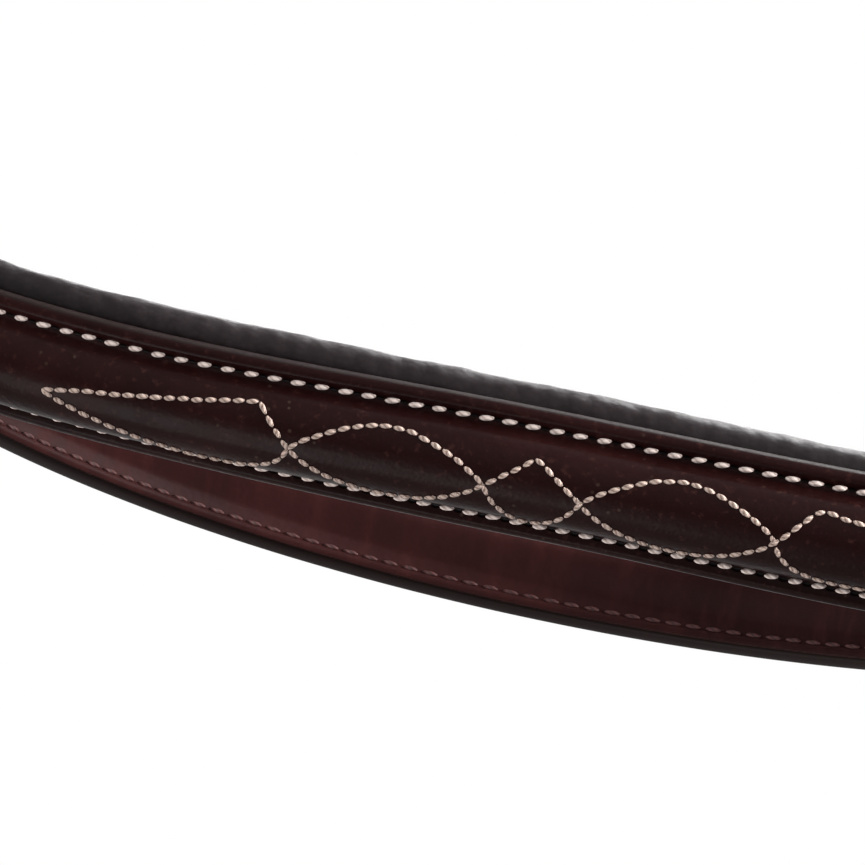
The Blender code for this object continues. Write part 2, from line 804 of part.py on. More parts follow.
def add_cross_straps():
    """Two straps that wind from the rings across the nose and meet under the chin."""
    starts, start_widths, start_thick = from_ring(cross_eye, cross_way, nose_strap_width)
    turns = [math.radians(a) for a in (75, 62, 48, 34, 25, 17, 8, 0, -8, -17, -25, -34, -48, -62, -75, -88)]
    first = ring_seat.n.cross(cross_way)
    first = first if first.dot(nose_across(turns[0])) > 0 else -first

    inner_turns = turns + [-math.radians(a) for a in (103, 120, 138, 156)]
    points = starts + [nose_point(turn) for turn in inner_turns]
    acrosses = [first] * 3 + [nose_across(turn) for turn in inner_turns]
    body = [chin_seat.at(s) for s in (chin_body_length * 0.96, chin_body_length * 0.7)]
    stations = list(reversed(folded_start(chin_body_length)))
    body += [chin_seat.at(s) for s, _ in stations]
    body_across = chin_seat.w if chin_seat.w.dot(acrosses[-1]) > 0 else -chin_seat.w
    points += body
    acrosses += [body_across] * len(body)
    widths = start_widths + [nose_strap_width] * (len(points) - 3)
    thick = start_thick + [leather] * (len(points) - 3 - len(stations)) + [t for _, t in stations]
    shape = bmesh.new()
    strap(shape, points, acrosses, widths, thick)
    piece = new_piece("cross_strap_inner", shape, "bridle_leather")
    add_ring_fold(piece, "cross_inner_ring", cross_eye, cross_way, 1)
    add_fold(piece, "chin", chin_seat, nose_strap_width, 1, fold_radius, wire + gap, True)
    add_buckle("chin", chin_seat, nose_strap_width, 1, short_tail)

    over = leather + gap
    outer = []
    for turn in turns:
        share = min(max((math.radians(33) - abs(turn)) / math.radians(16), 0), 1)
        outer.append(flipped(nose_point(turn, over * share)))
    points = [flipped(point) for point in starts] + outer
    acrosses = [flipped(first)] * 3 + [flipped(nose_across(turn)) for turn in turns]
    tail = billet_points(chin_seat, -1.5 * frame_length, short_tail)
    tail_across = chin_seat.w if chin_seat.w.dot(acrosses[-1]) > 0 else -chin_seat.w
    points += tail
    acrosses += [tail_across] * len(tail)
    widths = start_widths + billet_widths(nose_strap_width, len(points) - 3)
    thick = start_thick + [leather] * (len(points) - 3)
    shape = bmesh.new()
    strap(shape, points, acrosses, widths, thick)
    piece = new_piece("cross_strap_outer", shape, "bridle_leather")
    add_ring_fold(piece, "cross_outer_ring", cross_eye, cross_way, -1)
    cut_tongue_holes(piece, "chin_holes", chin_seat, 1, -1, 1)


def add_nose_disc(name, radius, lift, thickness, look, rim_share=1):
    """A round piece bent to the nose, lofted from side to side."""
    points = []
    widths = []
    thick = []
    for a in (-80, -64, -47, -30, -10, 10, 30, 47, 64, 80):
        lean = math.radians(a)
        turn = math.asin(radius * math.sin(lean) / nose_half_width)
        points.append(Vector((
            (nose_half_width + lift) * math.sin(turn),
            -nose_forward - (nose_depth + lift) * math.cos(turn),
            -nose_drop,
        )))
        widths.append(2 * radius * math.cos(lean))
        thick.append(thickness * (rim_share + (1 - rim_share) * math.cos(lean) ** 0.5))
    shape = bmesh.new()
    strap(shape, points, Vector((0, 0, 1)), widths, thick)
    return new_piece(name, shape, look, 1, Vector((0, -nose_forward - nose_depth, -nose_drop)))


def add_nose_pad():
    """A soft pad and a leather disc behind the crossing, and a keeper disc riveted over it."""
    behind = -(leather / 2 + pad_play + pad_leather / 2)
    before = leather * 1.5 + gap + pad_play / 2 + pad_leather / 2
    disc = add_nose_disc("nose_pad_disc", pad_radius, behind, pad_leather, "bridle_leather")
    keeper = add_nose_disc("nose_pad_keeper", pad_keeper_radius, before, pad_leather, "bridle_leather")
    filling = behind - pad_leather / 2 - gap - pad_filling / 2
    add_nose_disc("nose_pad_cushion", pad_radius * 0.96, filling, pad_filling, "padding", 0.45)
    front = -nose_forward - nose_depth - before - pad_leather / 2
    back = -nose_forward - nose_depth - behind + pad_leather / 2
    for label, z in (("top", pad_rivet_place - nose_drop), ("bottom", -pad_rivet_place - nose_drop)):
        shape = bmesh.new()
        rod(shape, Vector((0, front - overrun, z)), Vector((0, back + overrun, z)), pad_rivet_radius + gap, 8)
        hole = new_piece(f"pad_rivet_hole_{label}", shape, None)
        combine(disc, hole, "DIFFERENCE")
        combine(keeper, hole, "DIFFERENCE")
        shape = bmesh.new()
        rings = []
        for y, radius in (
            (front - gap - 2 * gap, pad_rivet_radius * 1.2),
            (front - gap, pad_rivet_radius * 1.8),
            (front - gap, pad_rivet_radius),
            (back - gap, pad_rivet_radius),
        ):
            ring = []
            for k in range(8):
                turn = math.pi * (2 * k + 1) / 8
                ring.append(Vector((radius * math.cos(turn), y, z + radius * math.sin(turn))))
            rings.append(ring)
        loft(shape, rings)
        new_piece(f"nose_pad_rivet_{label}", shape, "steel")


# The jowl strap's buckle lies behind the left ring
jowl_run = (jowl_way - X * jowl_inward_share - Vector((0, 0, jowl_fall_share))).normalized()
jowl_seat = Seat(jowl_eye + jowl_run * jowl_body_length, -jowl_run, X)


def add_jowl_strap():
    """A short strap with the buckle on the left ring, and a long one from the right ring round the jaw."""
    seat = jowl_seat
    starts, start_widths, start_thick = from_ring(jowl_eye, jowl_run, nose_strap_width)
    stations = list(reversed(folded_start(jowl_body_length)))
    points = starts + [seat.at(s) for s, _ in stations]
    widths = start_widths + [nose_strap_width] * len(stations)
    thick = start_thick + [t for _, t in stations]
    shape = bmesh.new()
    strap(shape, points, seat.w, widths, thick)
    piece = new_piece("jowl_point", shape, "bridle_leather")
    add_ring_fold(piece, "jowl_point_ring", jowl_eye, jowl_way, 1)
    add_fold(piece, "jowl_point", seat, nose_strap_width, 1, fold_radius, wire + gap, True)
    add_buckle("jowl", seat, nose_strap_width, 1, short_tail)

    billet = billet_points(seat, -3 * frame_length, short_tail)
    apex = Vector((0, jowl_back, -jowl_drop))
    side_end = seat.at(-2 * frame_length)
    pull = (apex - side_end).length * 1.17
    sweep = hermite(side_end, -seat.s * pull, apex, -X * pull, 6)
    right_sweep = [flipped(point) for point in [side_end] + sweep[:-1]]
    run = [flipped(point) for point in starts] + [flipped(seat.at(jowl_body_length * 0.4))]
    run += right_sweep + list(reversed(sweep)) + billet
    across_right = flipped(seat.w)
    acrosses = []
    for point in run:
        share = min(max((point.x / side_end.x + 1) / 2, 0), 1)
        acrosses.append(across_right.lerp(seat.w, share).normalized())
    widths = start_widths + billet_widths(nose_strap_width, len(run) - 3)
    thick = start_thick + [leather] * (len(run) - 3)
    shape = bmesh.new()
    strap(shape, run, acrosses, widths, thick)
    piece = new_piece("jowl_strap", shape, "bridle_leather")
    add_ring_fold(piece, "jowl_strap_ring", jowl_eye, jowl_way, -1)
    cut_tongue_holes(piece, "jowl_holes", seat, 1, -2, 1)


# The browband's plane runs forward and down from the temples
band_x = crown_half_span + headpiece_lift - leather / 2 - gap / 2
band_pivot = Vector((0, 0, -loop_drop))
band_forward = Vector((0, -math.cos(browband_droop), -math.sin(browband_droop)))
band_up = Vector((0, -math.sin(browband_droop), math.cos(browband_droop)))
loop_half_length = (crown_width + loop_skew_room) / 2
loop_half_depth = (hanger_thickness + gap + leather) / 2 + loop_play
band_start = loop_half_length + loop_leather + gap


def band_line():
    """The browband's back line from the left temple round the forehead to the right one."""
    points = []
    for step in range(1, 400):
        turn = math.pi * step / 400
        share = 2 / browband_power_share
        deep = browband_reach * math.sin(turn) ** share
        wide = math.copysign(band_x * abs(math.cos(turn)) ** share, math.cos(turn))
        if deep > band_start:
            points.append(band_pivot + X * wide + band_forward * deep)
    return evenly(points, 27)


def band_rings(points, outline):
    """Rings of an outline that is given up the band and outward from its back."""
    total = sum((b - a).length for a, b in zip(points, points[1:]))
    rings = []
    run = 0.0
    for i, point in enumerate(points):
        if i:
            run += (point - points[i - 1]).length
        before = points[max(i - 1, 0)]
        after = points[min(i + 1, len(points) - 1)]
        outward = band_up.cross(after - before).normalized()
        from_end = min(run, total - run)
        swell_share = min(from_end / swell_runout, 1)
        swell_share = swell_share * swell_share * (3 - 2 * swell_share)
        rings.append([point + band_up * v + outward * n for v, n in outline(swell_share)])
    return rings


def face_outline(swell_share):
    """The leather face: flanges, the swell between the stitch rows and the channel behind it."""
    half = (browband_end_width + (browband_width - browband_end_width) * swell_share) / 2
    rounding = browband_leather * edge_round_share
    outline = [(-half, rounding), (-half, browband_leather - rounding), (rounding - half, browband_leather)]
    rise = swell_height * swell_share
    for a in (180, 158, 130, 105, 75, 50, 22, 0):
        turn = math.radians(a)
        outline.append((swell_width / 2 * math.cos(turn), browband_leather + rise * math.sin(turn) ** 0.9))
    outline += [(half - rounding, browband_leather), (half, browband_leather - rounding), (half, rounding)]
    outline.append((half - rounding, 0))
    channel = swell_width / 2 - browband_leather * 0.4
    deep = gap + (swell_height - gap) * swell_share
    for a in (0, 50, 90, 130, 180):
        turn = math.radians(a)
        outline.append((channel * math.cos(turn), deep * math.sin(turn)))
    outline.append((rounding - half, 0))
    return outline


def core_outline(swell_share):
    """The half-round cord that raises the swell."""
    wide = swell_width / 2 - browband_leather * 0.4 - 2 * gap
    deep = swell_height * swell_share - 2 * gap
    outline = []
    for a in (0, 50, 90, 130, 180):
        turn = math.radians(a)
        outline.append((wide * math.cos(turn), gap / 2 + deep * math.sin(turn)))
    return outline


def lining_outline(swell_share):
    """The soft lining, which rolls out past both edges of the leather."""
    half = (browband_end_width + (browband_width - browband_end_width) * swell_share) / 2
    half = half + browband_pad_proud * swell_share
    deep = browband_leather + (browband_pad - browband_leather) * swell_share
    shares = (
        (-0.84, -0.02), (-0.95, -0.12), (-1, -0.38), (-0.96, -0.68), (-0.8, -0.94),
        (0, -1), (0.8, -0.94), (0.96, -0.68), (1, -0.38), (0.95, -0.12), (0.84, -0.02),
    )
    return [(half * v, deep * n - gap) for v, n in shares]


def add_browband():
    """The raised leather face, its core, its padded lining and the loops that hold it to the headpiece."""
    line = band_line()
    pivot = band_pivot
    shape = bmesh.new()
    loft(shape, band_rings(line, face_outline))
    new_piece("browband_face", shape, "bridle_leather", 1, pivot)
    shape = bmesh.new()
    rings = band_rings(line, core_outline)
    loft(shape, rings[2:-2])
    new_piece("browband_core", shape, "padding", 1, pivot)
    shape = bmesh.new()
    loft(shape, band_rings(line, lining_outline))
    new_piece("browband_lining", shape, "lining_leather", 1, pivot)
    middle_lift = (hanger_lift - hanger_thickness / 2 + headpiece_lift + leather / 2) / 2
    seat = Seat(band_pivot + X * (crown_half_span + middle_lift), band_up, X)
    for side in (1, -1):
        width = 2 * (loop_half_length - keeper_play)
        half = loop_half_depth - keeper_play
        shape_name = f"browband_loop_{side_word(side)}"
        piece = add_keeper(shape_name, seat, 0, width, -half, half, side, height=loop_height)
        for vert in piece.data.vertices:
            vert.co += piece.location - (pivot - poll_rest)
        piece.location = pivot - poll_rest


def report(name, point):
    """Prints a place in metres in the finished part's own frame."""
    place = Vector(point) - poll_rest
    print(name, [round(value, 6) for value in place])


add_headpiece()
add_crown_layers()
add_browband()
for each_side in (1, -1):
    add_cheekpiece(each_side)
    add_ring(each_side)
add_throatlatch()
add_hanger_body()
add_cross_straps()
add_nose_pad()
add_jowl_strap()

for seat_name, seat in (
    ("cheek", cheek_seat),
    ("throat", throat_seat),
    ("noseband", hanger_seat),
    ("jowl", jowl_seat),
    ("chin", chin_seat),
):
    report(seat_name + " heel", seat.heel)
    print(seat_name, "along", [round(v, 6) for v in seat.s], "across", [round(v, 6) for v in seat.w])
report("ring centre", ring_centre)
print("ring axis", [round(v, 6) for v in ring_seat.n])
report("browband pivot", band_pivot)
report("nose pad pivot", Vector((0, -nose_forward - nose_depth, -nose_drop)))
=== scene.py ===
# %% [markdown]
# # A figure eight bridle, dressed
#
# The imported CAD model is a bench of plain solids: straps, buckles, rings and a nose pad.
# This lesson dresses them. Each leather strap is made flat, as a saddler cuts it, and is
# then bent along its route on the head. The browband is the show piece, so it gets real
# stitches, a raised swell and a soft rolled lining.

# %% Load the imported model
import random
from math import asin, atan2, copysign, cos, exp, hypot, pi, radians, sin, sqrt

import bmesh
import bpy
import numpy as np
from mathutils import Matrix, Vector, noise

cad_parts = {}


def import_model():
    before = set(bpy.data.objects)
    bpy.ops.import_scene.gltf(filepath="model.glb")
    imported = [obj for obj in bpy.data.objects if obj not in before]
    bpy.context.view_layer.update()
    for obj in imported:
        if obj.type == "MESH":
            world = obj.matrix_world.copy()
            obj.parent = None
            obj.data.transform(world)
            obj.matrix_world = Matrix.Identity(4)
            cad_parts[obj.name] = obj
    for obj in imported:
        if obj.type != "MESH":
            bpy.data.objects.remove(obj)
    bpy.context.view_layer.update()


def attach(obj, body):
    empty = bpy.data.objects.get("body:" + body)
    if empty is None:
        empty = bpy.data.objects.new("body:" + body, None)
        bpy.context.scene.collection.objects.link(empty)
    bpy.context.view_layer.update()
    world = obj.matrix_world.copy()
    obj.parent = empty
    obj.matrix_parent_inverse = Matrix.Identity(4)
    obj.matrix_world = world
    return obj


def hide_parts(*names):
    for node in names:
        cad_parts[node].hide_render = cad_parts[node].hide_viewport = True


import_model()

MM = 0.001
X, Y, Z = Vector((1, 0, 0)), Vector((0, 1, 0)), Vector((0, 0, 1))


def clamped(value):
    return min(max(value, 0), 1)


def eased(share):
    """A share from 0 to 1 that starts and ends gently."""
    share = clamped(share)
    return share * share * (3 - 2 * share)


def ripple(x, y, z):
    """Smooth noise from about -1 to 1."""
    return noise.noise(Vector((x, y, z)))


# %% [markdown]
# ## The place of things
#
# All routes are drawn round one frame between the temples, in millimetres. The model's own
# origin is on the poll, so every point is moved there at the end by one function.

# %% The temple frame
crown_half_span, crown_rise, crown_lean, crown_ease = 110, 80.5, 55, 0.12
crown_tilt = radians(16)
half_crown_turns = [radians(a) for a in (0, 6, 13, 21, 29, 37, 46, 56, 66, 76, 85)]
crown_turns = half_crown_turns + [pi - turn for turn in reversed(half_crown_turns)]


def crown_base(turn):
    """The line of the crown's underside: a turn of 0 is the left temple, pi the right one."""
    height = max(sin(turn), 0)
    lean = crown_lean * (1 + crown_ease) * height**2 / (height + crown_ease)
    return Vector((crown_half_span * cos(turn), lean, crown_rise * height))


poll_edge = crown_base(half_crown_turns[-1])
poll_rest = Vector((0, poll_edge.y, poll_edge.z))


def world(point):
    """Millimetres round the temples to metres round the poll."""
    return (Vector(point) - poll_rest) * MM


print("the poll is", [round(v, 1) for v in poll_rest], "mm from the temples' middle")

# %% [markdown]
# ## Camera
#
# The photograph is a close-up of the browband, taken from in front and below, with the
# bridle upside down. So the camera looks up and back, and is rolled a little past half a
# turn. A long lens keeps the band's two edges nearly parallel.

# %% Camera
band_droop, look_rise = radians(12), radians(25)
band_forward = Vector((0, -cos(band_droop), -sin(band_droop)))
band_up = Vector((0, -sin(band_droop), cos(band_droop)))
look_up, look_side, roll = band_droop + look_rise, 0.082, 3.29
camera_distance, frame_width, sensor_width = 850, 114.4, 36
sight = Vector((sin(look_side) * cos(look_up), cos(look_side) * cos(look_up), sin(look_up)))
aim_left, aim_drop, aim_depth, aim_below = 14.3, 10, 87, 6.9
aim = Vector((aim_left, 0, -aim_drop)) + band_forward * aim_depth - band_up * aim_below
level_right = sight.cross(Z).normalized()
level_up = level_right.cross(sight)
right = level_right * cos(roll) + level_up * sin(roll)
upward = level_up * cos(roll) - level_right * sin(roll)
camera_data = bpy.data.cameras.new("camera")
camera_data.sensor_width = sensor_width
camera_data.lens = sensor_width * camera_distance / frame_width
camera_data.clip_start = 0.01
camera = bpy.data.objects.new("camera", camera_data)
turned = Matrix((right, upward, -sight)).transposed().to_4x4()
camera.matrix_world = Matrix.Translation(world(aim - sight * camera_distance)) @ turned
bpy.context.scene.collection.objects.link(camera)
bpy.context.scene.camera = camera
print("lens", round(camera_data.lens), "mm, camera at", [round(v, 3) for v in camera.location])

# %% [markdown]
# ## Shader maths in plain expressions
#
# A finish is easier to read as a formula than as a web of nodes. A small class wraps a
# socket, and each operator adds the Math node that does its work. One function makes any
# other node from its type, inputs and settings.


# %% The socket class
def put(tree, place, value):
    """Links a wire to an input, or sets the input to a plain value."""
    if isinstance(value, Wire):
        tree.links.new(value.socket, place)
    else:
        place.default_value = value


def add_node(tree, kind, inputs, settings=None, output=0):
    """Adds a node: its settings come first, then its inputs by name or number."""
    node = tree.nodes.new("ShaderNode" + kind)
    for setting, value in (settings or {}).items():
        setattr(node, setting, value)
    for place, value in inputs.items():
        put(tree, node.inputs[place], value)
    return Wire(tree, node.outputs[output])


def operator(operation):
    return lambda self, other: self.math(operation, other)


class Wire:
    """A socket in a node tree, with Python's operators as Math nodes."""

    __add__ = __radd__ = operator("ADD")
    __mul__ = __rmul__ = operator("MULTIPLY")
    __sub__, __truediv__ = operator("SUBTRACT"), operator("DIVIDE")

    def __init__(self, tree, socket):
        self.tree, self.socket = tree, socket

    def math(self, operation, *others):
        return add_node(self.tree, "Math", dict(enumerate((self, *others))), {"operation": operation})

    def __rsub__(self, other):
        return (self * -1) + other

    def clamp(self):
        return self.math("MAXIMUM", 0.0).math("MINIMUM", 1.0)

    def step(self, low, high):
        """Rises smoothly from 0 to 1 between two values."""
        share = ((self - low) / (high - low)).clamp()
        return share * share * (3 - 2 * share)


print("Wire is ready")


# %% The finish class
class Finish:
    """A material with its Principled shader, which takes wires and plain values."""

    def __init__(self, name):
        self.material = bpy.data.materials.new(name)
        self.material.use_nodes = True
        self.tree = self.material.node_tree
        self.place = self.node("TexCoord", output="Object")

    def node(self, kind, settings=None, output=0, **inputs):
        return add_node(self.tree, kind, inputs, settings, output)

    def noise(self, scale, detail=3.0, roughness=0.5, where=None):
        return self.node("TexNoise", Vector=where or self.place, Scale=scale, Detail=detail,
                         Roughness=roughness)

    def cells(self, scale):
        return self.node("TexVoronoi", {"feature": "F1"}, Vector=self.place, Scale=scale)

    def uv(self, name):
        """The two coordinates of one of the piece's own UV maps."""
        flat = self.node("UVMap", {"uv_map": name})
        return [self.node("SeparateXYZ", output=place, Vector=flat) for place in (0, 1)]

    def mix(self, share, first, second):
        """Goes from one colour to another by a share."""
        return add_node(self.tree, "Mix", {0: share, 6: first, 7: second}, {"data_type": "RGBA"}, 2)

    def set(self, **inputs):
        for place, value in inputs.items():
            put(self.tree, self.tree.nodes["Principled BSDF"].inputs[place.replace("_", " ")], value)

    def relief(self, height, distance, strength):
        """Feeds a Bump node with a height in metres."""
        self.set(Normal=self.node("Bump", Height=height, Distance=distance, Strength=strength))


def colour(red, green, blue):
    return (red, green, blue, 1)


print("Finish is ready")

# %% [markdown]
# ## The finishes
#
# The bridle leather is havana brown, drum dyed and waxed, so it has a fine pore pattern
# under a thin gloss. The lining is soft calf with a low sheen. The thread is waxed linen in
# cream. The metal is polished stainless steel, with faint rub marks.


# %% Leathers
def bridle_leather(name="bridle_leather", pits=None):
    """Smooth waxed leather: a little mottled, with pores, rub marks and light specks that are painted
    highlights on the pores.

    Pits are the awl holes at the ends of the border stitches, darkened with painted shade: their row, pitch
    and phase in mm.
    """
    made = Finish(name)
    mottle, cloud = made.noise(42.0, 4.0, 0.6), made.noise(9.0, 2.0)
    grain, wear = made.noise(900.0, 3.0, 0.6), made.noise(260.0, 5.0, 0.7)
    # Light specks on the pores: painted highlights, not dust.
    painted_pore_highlights = (0.16 - made.cells(520.0)).step(0.0, 0.07) * made.noise(60.0, 2.0).step(0.5, 0.62)
    base = made.mix(cloud.step(0.35, 0.7), colour(0.0068, 0.0016, 0.0016), colour(0.0115, 0.0027, 0.0026))
    base = made.mix(mottle.step(0.45, 0.75) * 0.5, base, colour(0.023, 0.0058, 0.0050))
    base = made.mix(grain.step(0.56, 0.74) * 0.45, base, colour(0.040, 0.0150, 0.0120))
    # The specks' light colour is a painted highlight on the pores.
    base = made.mix(painted_pore_highlights * 0.3, base, colour(0.08, 0.055, 0.040))
    height = made.cells(1500.0).clamp() * 0.5 + grain * 0.9
    if pits:
        (row, pitch, phase), (along, across) = pits, made.uv("band")
        half_length, half_width, whole_turns = 0.85, 0.45, 100
        from_pit = ((along / pitch - phase + (whole_turns + 0.5)).math("FRACT") - 0.5) * (pitch / half_length)
        from_row = (across.math("ABSOLUTE") - row) / half_width
        hole = (1 - (from_pit * from_pit + from_row * from_row).math("SQRT")).step(0.0, 0.7)
        # The awl holes are darkened nearly to black: painted shade in the holes.
        base = made.mix(hole * 0.92, base, colour(0.0012, 0.0006, 0.0006))
        height = height - hole * 5.0
    made.set(Base_Color=base, Roughness=0.26 + 0.16 * wear.step(0.35, 0.75) + 0.05 * mottle,
             Specular_IOR_Level=0.036, Coat_Weight=0.022, Coat_Roughness=0.14)
    made.relief(height, 0.00008, 0.7)
    return made.material


leather = bridle_leather()
print("leather:", leather.name)


# %% Linings, cut edges and backs
def lining_leather():
    """Soft calf with a fine grain and a low sheen."""
    made = Finish("lining_leather")
    cells, folds, cloud = made.cells(1050.0), made.noise(300.0, 4.0, 0.6), made.noise(16.0, 2.0)
    base = made.mix(cloud.step(0.35, 0.7), colour(0.0062, 0.0034, 0.0038), colour(0.0115, 0.0064, 0.0071))
    base = made.mix(cells.step(0.25, 0.6) * 0.6, base, colour(0.005, 0.003, 0.0034))
    made.set(Base_Color=base, Roughness=0.36 + 0.15 * folds, Specular_IOR_Level=0.13,
             Sheen_Weight=0.10, Sheen_Roughness=0.35, Sheen_Tint=colour(0.80, 0.74, 0.78))
    made.relief((1 - cells.clamp()) * 0.8 + folds * 0.5, 0.00009, 0.6)
    return made.material


def crown_lining_leather():
    """The crown's lining is redder, and shows faint draw marks across it."""
    made = Finish("crown_lining_leather")
    drawn_out = made.node("Mapping", Vector=made.place, Scale=(260.0, 60.0, 60.0))
    draw, cloud = made.noise(1.0, 4.0, 0.6, drawn_out), made.noise(30.0, 3.0)
    base = made.mix(cloud.step(0.3, 0.7), colour(0.0130, 0.0037, 0.0037), colour(0.0205, 0.0058, 0.0055))
    base = made.mix(draw.step(0.45, 0.8) * 0.4, base, colour(0.040, 0.0112, 0.0100))
    made.set(Base_Color=base, Roughness=0.44 + 0.2 * draw, Specular_IOR_Level=0.035)
    made.relief((1 - made.cells(900.0).clamp()) * 0.6 + draw * 0.5, 0.00010, 0.5)
    return made.material


def raw_edge():
    """A cut edge that is dyed and burnished: nearly black, with fine layers."""
    made = Finish("burnished_edge")
    layers = made.noise(500.0, 5.0, 0.7)
    base = made.mix(layers, colour(0.004, 0.0018, 0.0018), colour(0.012, 0.0048, 0.0042))
    made.set(Base_Color=base, Roughness=0.38 + 0.2 * layers, Specular_IOR_Level=0.07)
    made.relief(layers, 0.00008, 0.6)
    return made.material


def flesh_leather():
    """The back of a bridle strap: dyed and slicked down, but still fibrous and dull."""
    made = Finish("flesh_side")
    fibres, cloud = made.noise(700.0, 6.0, 0.75), made.noise(22.0, 3.0)
    base = made.mix(fibres.step(0.3, 0.75), colour(0.020, 0.0075, 0.0062), colour(0.052, 0.0200, 0.0150))
    base = made.mix(cloud.step(0.4, 0.8) * 0.5, base, colour(0.016, 0.0062, 0.0054))
    made.set(Base_Color=base, Roughness=0.62 + 0.2 * fibres, Specular_IOR_Level=0.2)
    made.relief(fibres, 0.00012, 0.6)
    return made.material


flesh_side, edge_leather = flesh_leather(), raw_edge()
soft_leather, crown_leather = lining_leather(), crown_lining_leather()
strap_finishes = [leather, edge_leather, flesh_side]
print("leathers:", soft_leather.name, crown_leather.name, edge_leather.name)


# %% Threads, padding and steel
def thread(name, light, dark):
    """Waxed thread: fibres, and two plies that wind round each stitch, with painted shade in the grooves
    between them.
    """
    made = Finish(name)
    fibres, dirt = made.noise(2600.0, 3.0, 0.7), made.noise(120.0, 2.0)
    around, along = made.uv("ply")
    plies = ((around * 2 + along * 2.6 + fibres * 0.25) * (2 * pi)).math("SINE") * 0.5 + 0.5
    # The plies turn towards the dark colour in their grooves: painted shade. The fibres' darker strands are
    # the thread's own.
    base = made.mix((fibres * 0.6 + plies * 0.55).step(0.15, 0.7), dark, light)
    base = made.mix(dirt.step(0.55, 0.85) * 0.35, base, dark)
    made.set(Base_Color=base, Roughness=0.6 + 0.2 * fibres, Specular_IOR_Level=0.25)
    made.relief(fibres * 0.5 + plies, 0.00012, 0.7)
    return made.material


def felt():
    """The filling's cover: dark knitted felt."""
    made = Finish("felt_filling")
    fuzz = made.noise(1400.0, 5.0, 0.75)
    made.set(Base_Color=made.mix(fuzz, colour(0.010, 0.009, 0.009), colour(0.040, 0.034, 0.032)),
             Roughness=0.85 + 0.1 * fuzz)
    made.relief(fuzz, 0.0002, 0.8)
    return made.material


def steel():
    """Polished stainless steel with faint rub marks."""
    made = Finish("polished_steel")
    rubs = made.noise(420.0, 6.0, 0.7)
    made.set(Base_Color=made.mix(rubs, colour(0.62, 0.61, 0.59), colour(0.74, 0.73, 0.71)),
             Metallic=1.0, Roughness=0.16 + 0.14 * rubs.step(0.4, 0.8))
    made.relief(rubs, 0.00002, 0.3)
    return made.material


cream_thread = thread("cream_thread", colour(0.74, 0.62, 0.565), colour(0.36, 0.265, 0.235))
fancy_thread = thread("fancy_thread", colour(0.43, 0.325, 0.275), colour(0.13, 0.080, 0.062))
brown_thread = thread("brown_thread", colour(0.050, 0.0150, 0.0140), colour(0.014, 0.0045, 0.0040))
filling, polished_steel = felt(), steel()
print("threads, filling and steel are mixed")

# %% [markdown]
# ## Routes
#
# A strap follows a route on the head. A few stations give the route's points and the
# direction across the strap there, and a smooth curve is drawn through them. A piece is
# modelled flat (x along, y across, z outward), which keeps every bmesh operator simple, and
# only then bent: each vertex looks up its place on the curve.


# %% The route class
class Route:
    """A smooth line through stations in millimetres, with the direction across at each."""

    def __init__(self, points, acrosses, centre=None, closed=False, steps=8):
        points = np.array([tuple(point) for point in points], float)
        acrosses = np.array([tuple(way) for way in acrosses], float)
        if closed:
            points = np.vstack([points[-1:], points, points[:2]])
            acrosses = np.vstack([acrosses[-1:], acrosses, acrosses[:2]])
        gaps = np.linalg.norm(np.diff(points, axis=0), axis=1)[:, None]
        slopes = np.diff(points, axis=0) / gaps
        inner = (slopes[:-1] * gaps[1:] + slopes[1:] * gaps[:-1]) / (gaps[:-1] + gaps[1:])
        pulls = np.vstack([slopes[:1], inner, slopes[-1:]])
        shares = np.linspace(0, 1, steps, endpoint=False)[:, None]
        keep = 2 * shares**3 - 3 * shares**2 + 1
        first, last = (1, len(points) - 2) if closed else (0, len(points) - 1)
        line, across = [], []
        for i in range(first, last):
            leave = pulls[i] * gaps[i] * (shares**3 - 2 * shares**2 + shares)
            arrive = pulls[i + 1] * gaps[i] * (shares**3 - shares**2)
            line.append(points[i] * keep + points[i + 1] * (1 - keep) + leave + arrive)
            across.append(acrosses[i] * (1 - shares) + acrosses[i + 1] * shares)
        self.line = np.vstack(line + [points[last]])
        self.across = np.vstack(across + [acrosses[last]])
        along = np.gradient(self.line, axis=0)
        if closed:
            along[0] = along[-1] = self.line[1] - self.line[-2]
        self.outward = np.cross(self.across, along)
        middle = len(self.line) // 2
        if centre is not None and self.outward[middle] @ (self.line[middle] - np.array(centre)) < 0:
            self.outward = -self.outward
        self.outward /= np.linalg.norm(self.outward, axis=1)[:, None]
        self.across = np.cross(along, self.outward)
        self.across /= np.linalg.norm(self.across, axis=1)[:, None]
        self.runs = np.r_[0, np.cumsum(np.linalg.norm(np.diff(self.line, axis=0), axis=1))]
        self.length = self.runs[-1]
        self.marks = self.runs[::steps]
        self.ring = closed

    def at(self, runs):
        """Places, across directions and outward directions at lengths along the route."""
        runs = np.atleast_1d(runs)
        tables = (self.line, self.across, self.outward)
        return [np.stack([np.interp(runs, self.runs, rows[:, k]) for k in range(3)], 1) for rows in tables]

    def nearest(self, point):
        """The length along the route at which it passes closest to a point."""
        return self.runs[np.argmin(np.linalg.norm(self.line - np.array(point), axis=1))]


def bend(shape, route):
    """Carries a flat shape in millimetres onto a route, in metres round the poll."""
    shape.verts.ensure_lookup_table()
    flat = np.array([tuple(vert.co) for vert in shape.verts])
    place, across, outward = route.at(flat[:, 0])
    bent = place + across * flat[:, 1:2] + outward * flat[:, 2:3]
    for vert, point in zip(shape.verts, bent):
        vert.co = world(point)


print("Route and bend are ready")

# %% [markdown]
# ## Flat leather
#
# A strap is an outline of its cut end, extruded to its length and cut crosswise so that it can
# bend. The outline has rolled edges and the creased line that a saddler runs along each edge
# with a hot tool. Holes and slots are punched while the strap still lies flat.


# %% Strap sections
def both_halves(half, *middle):
    """Half an outline, then its mirror image. Points are across and outward."""
    return half + list(middle) + [(-y, z) for y, z in reversed(half)]


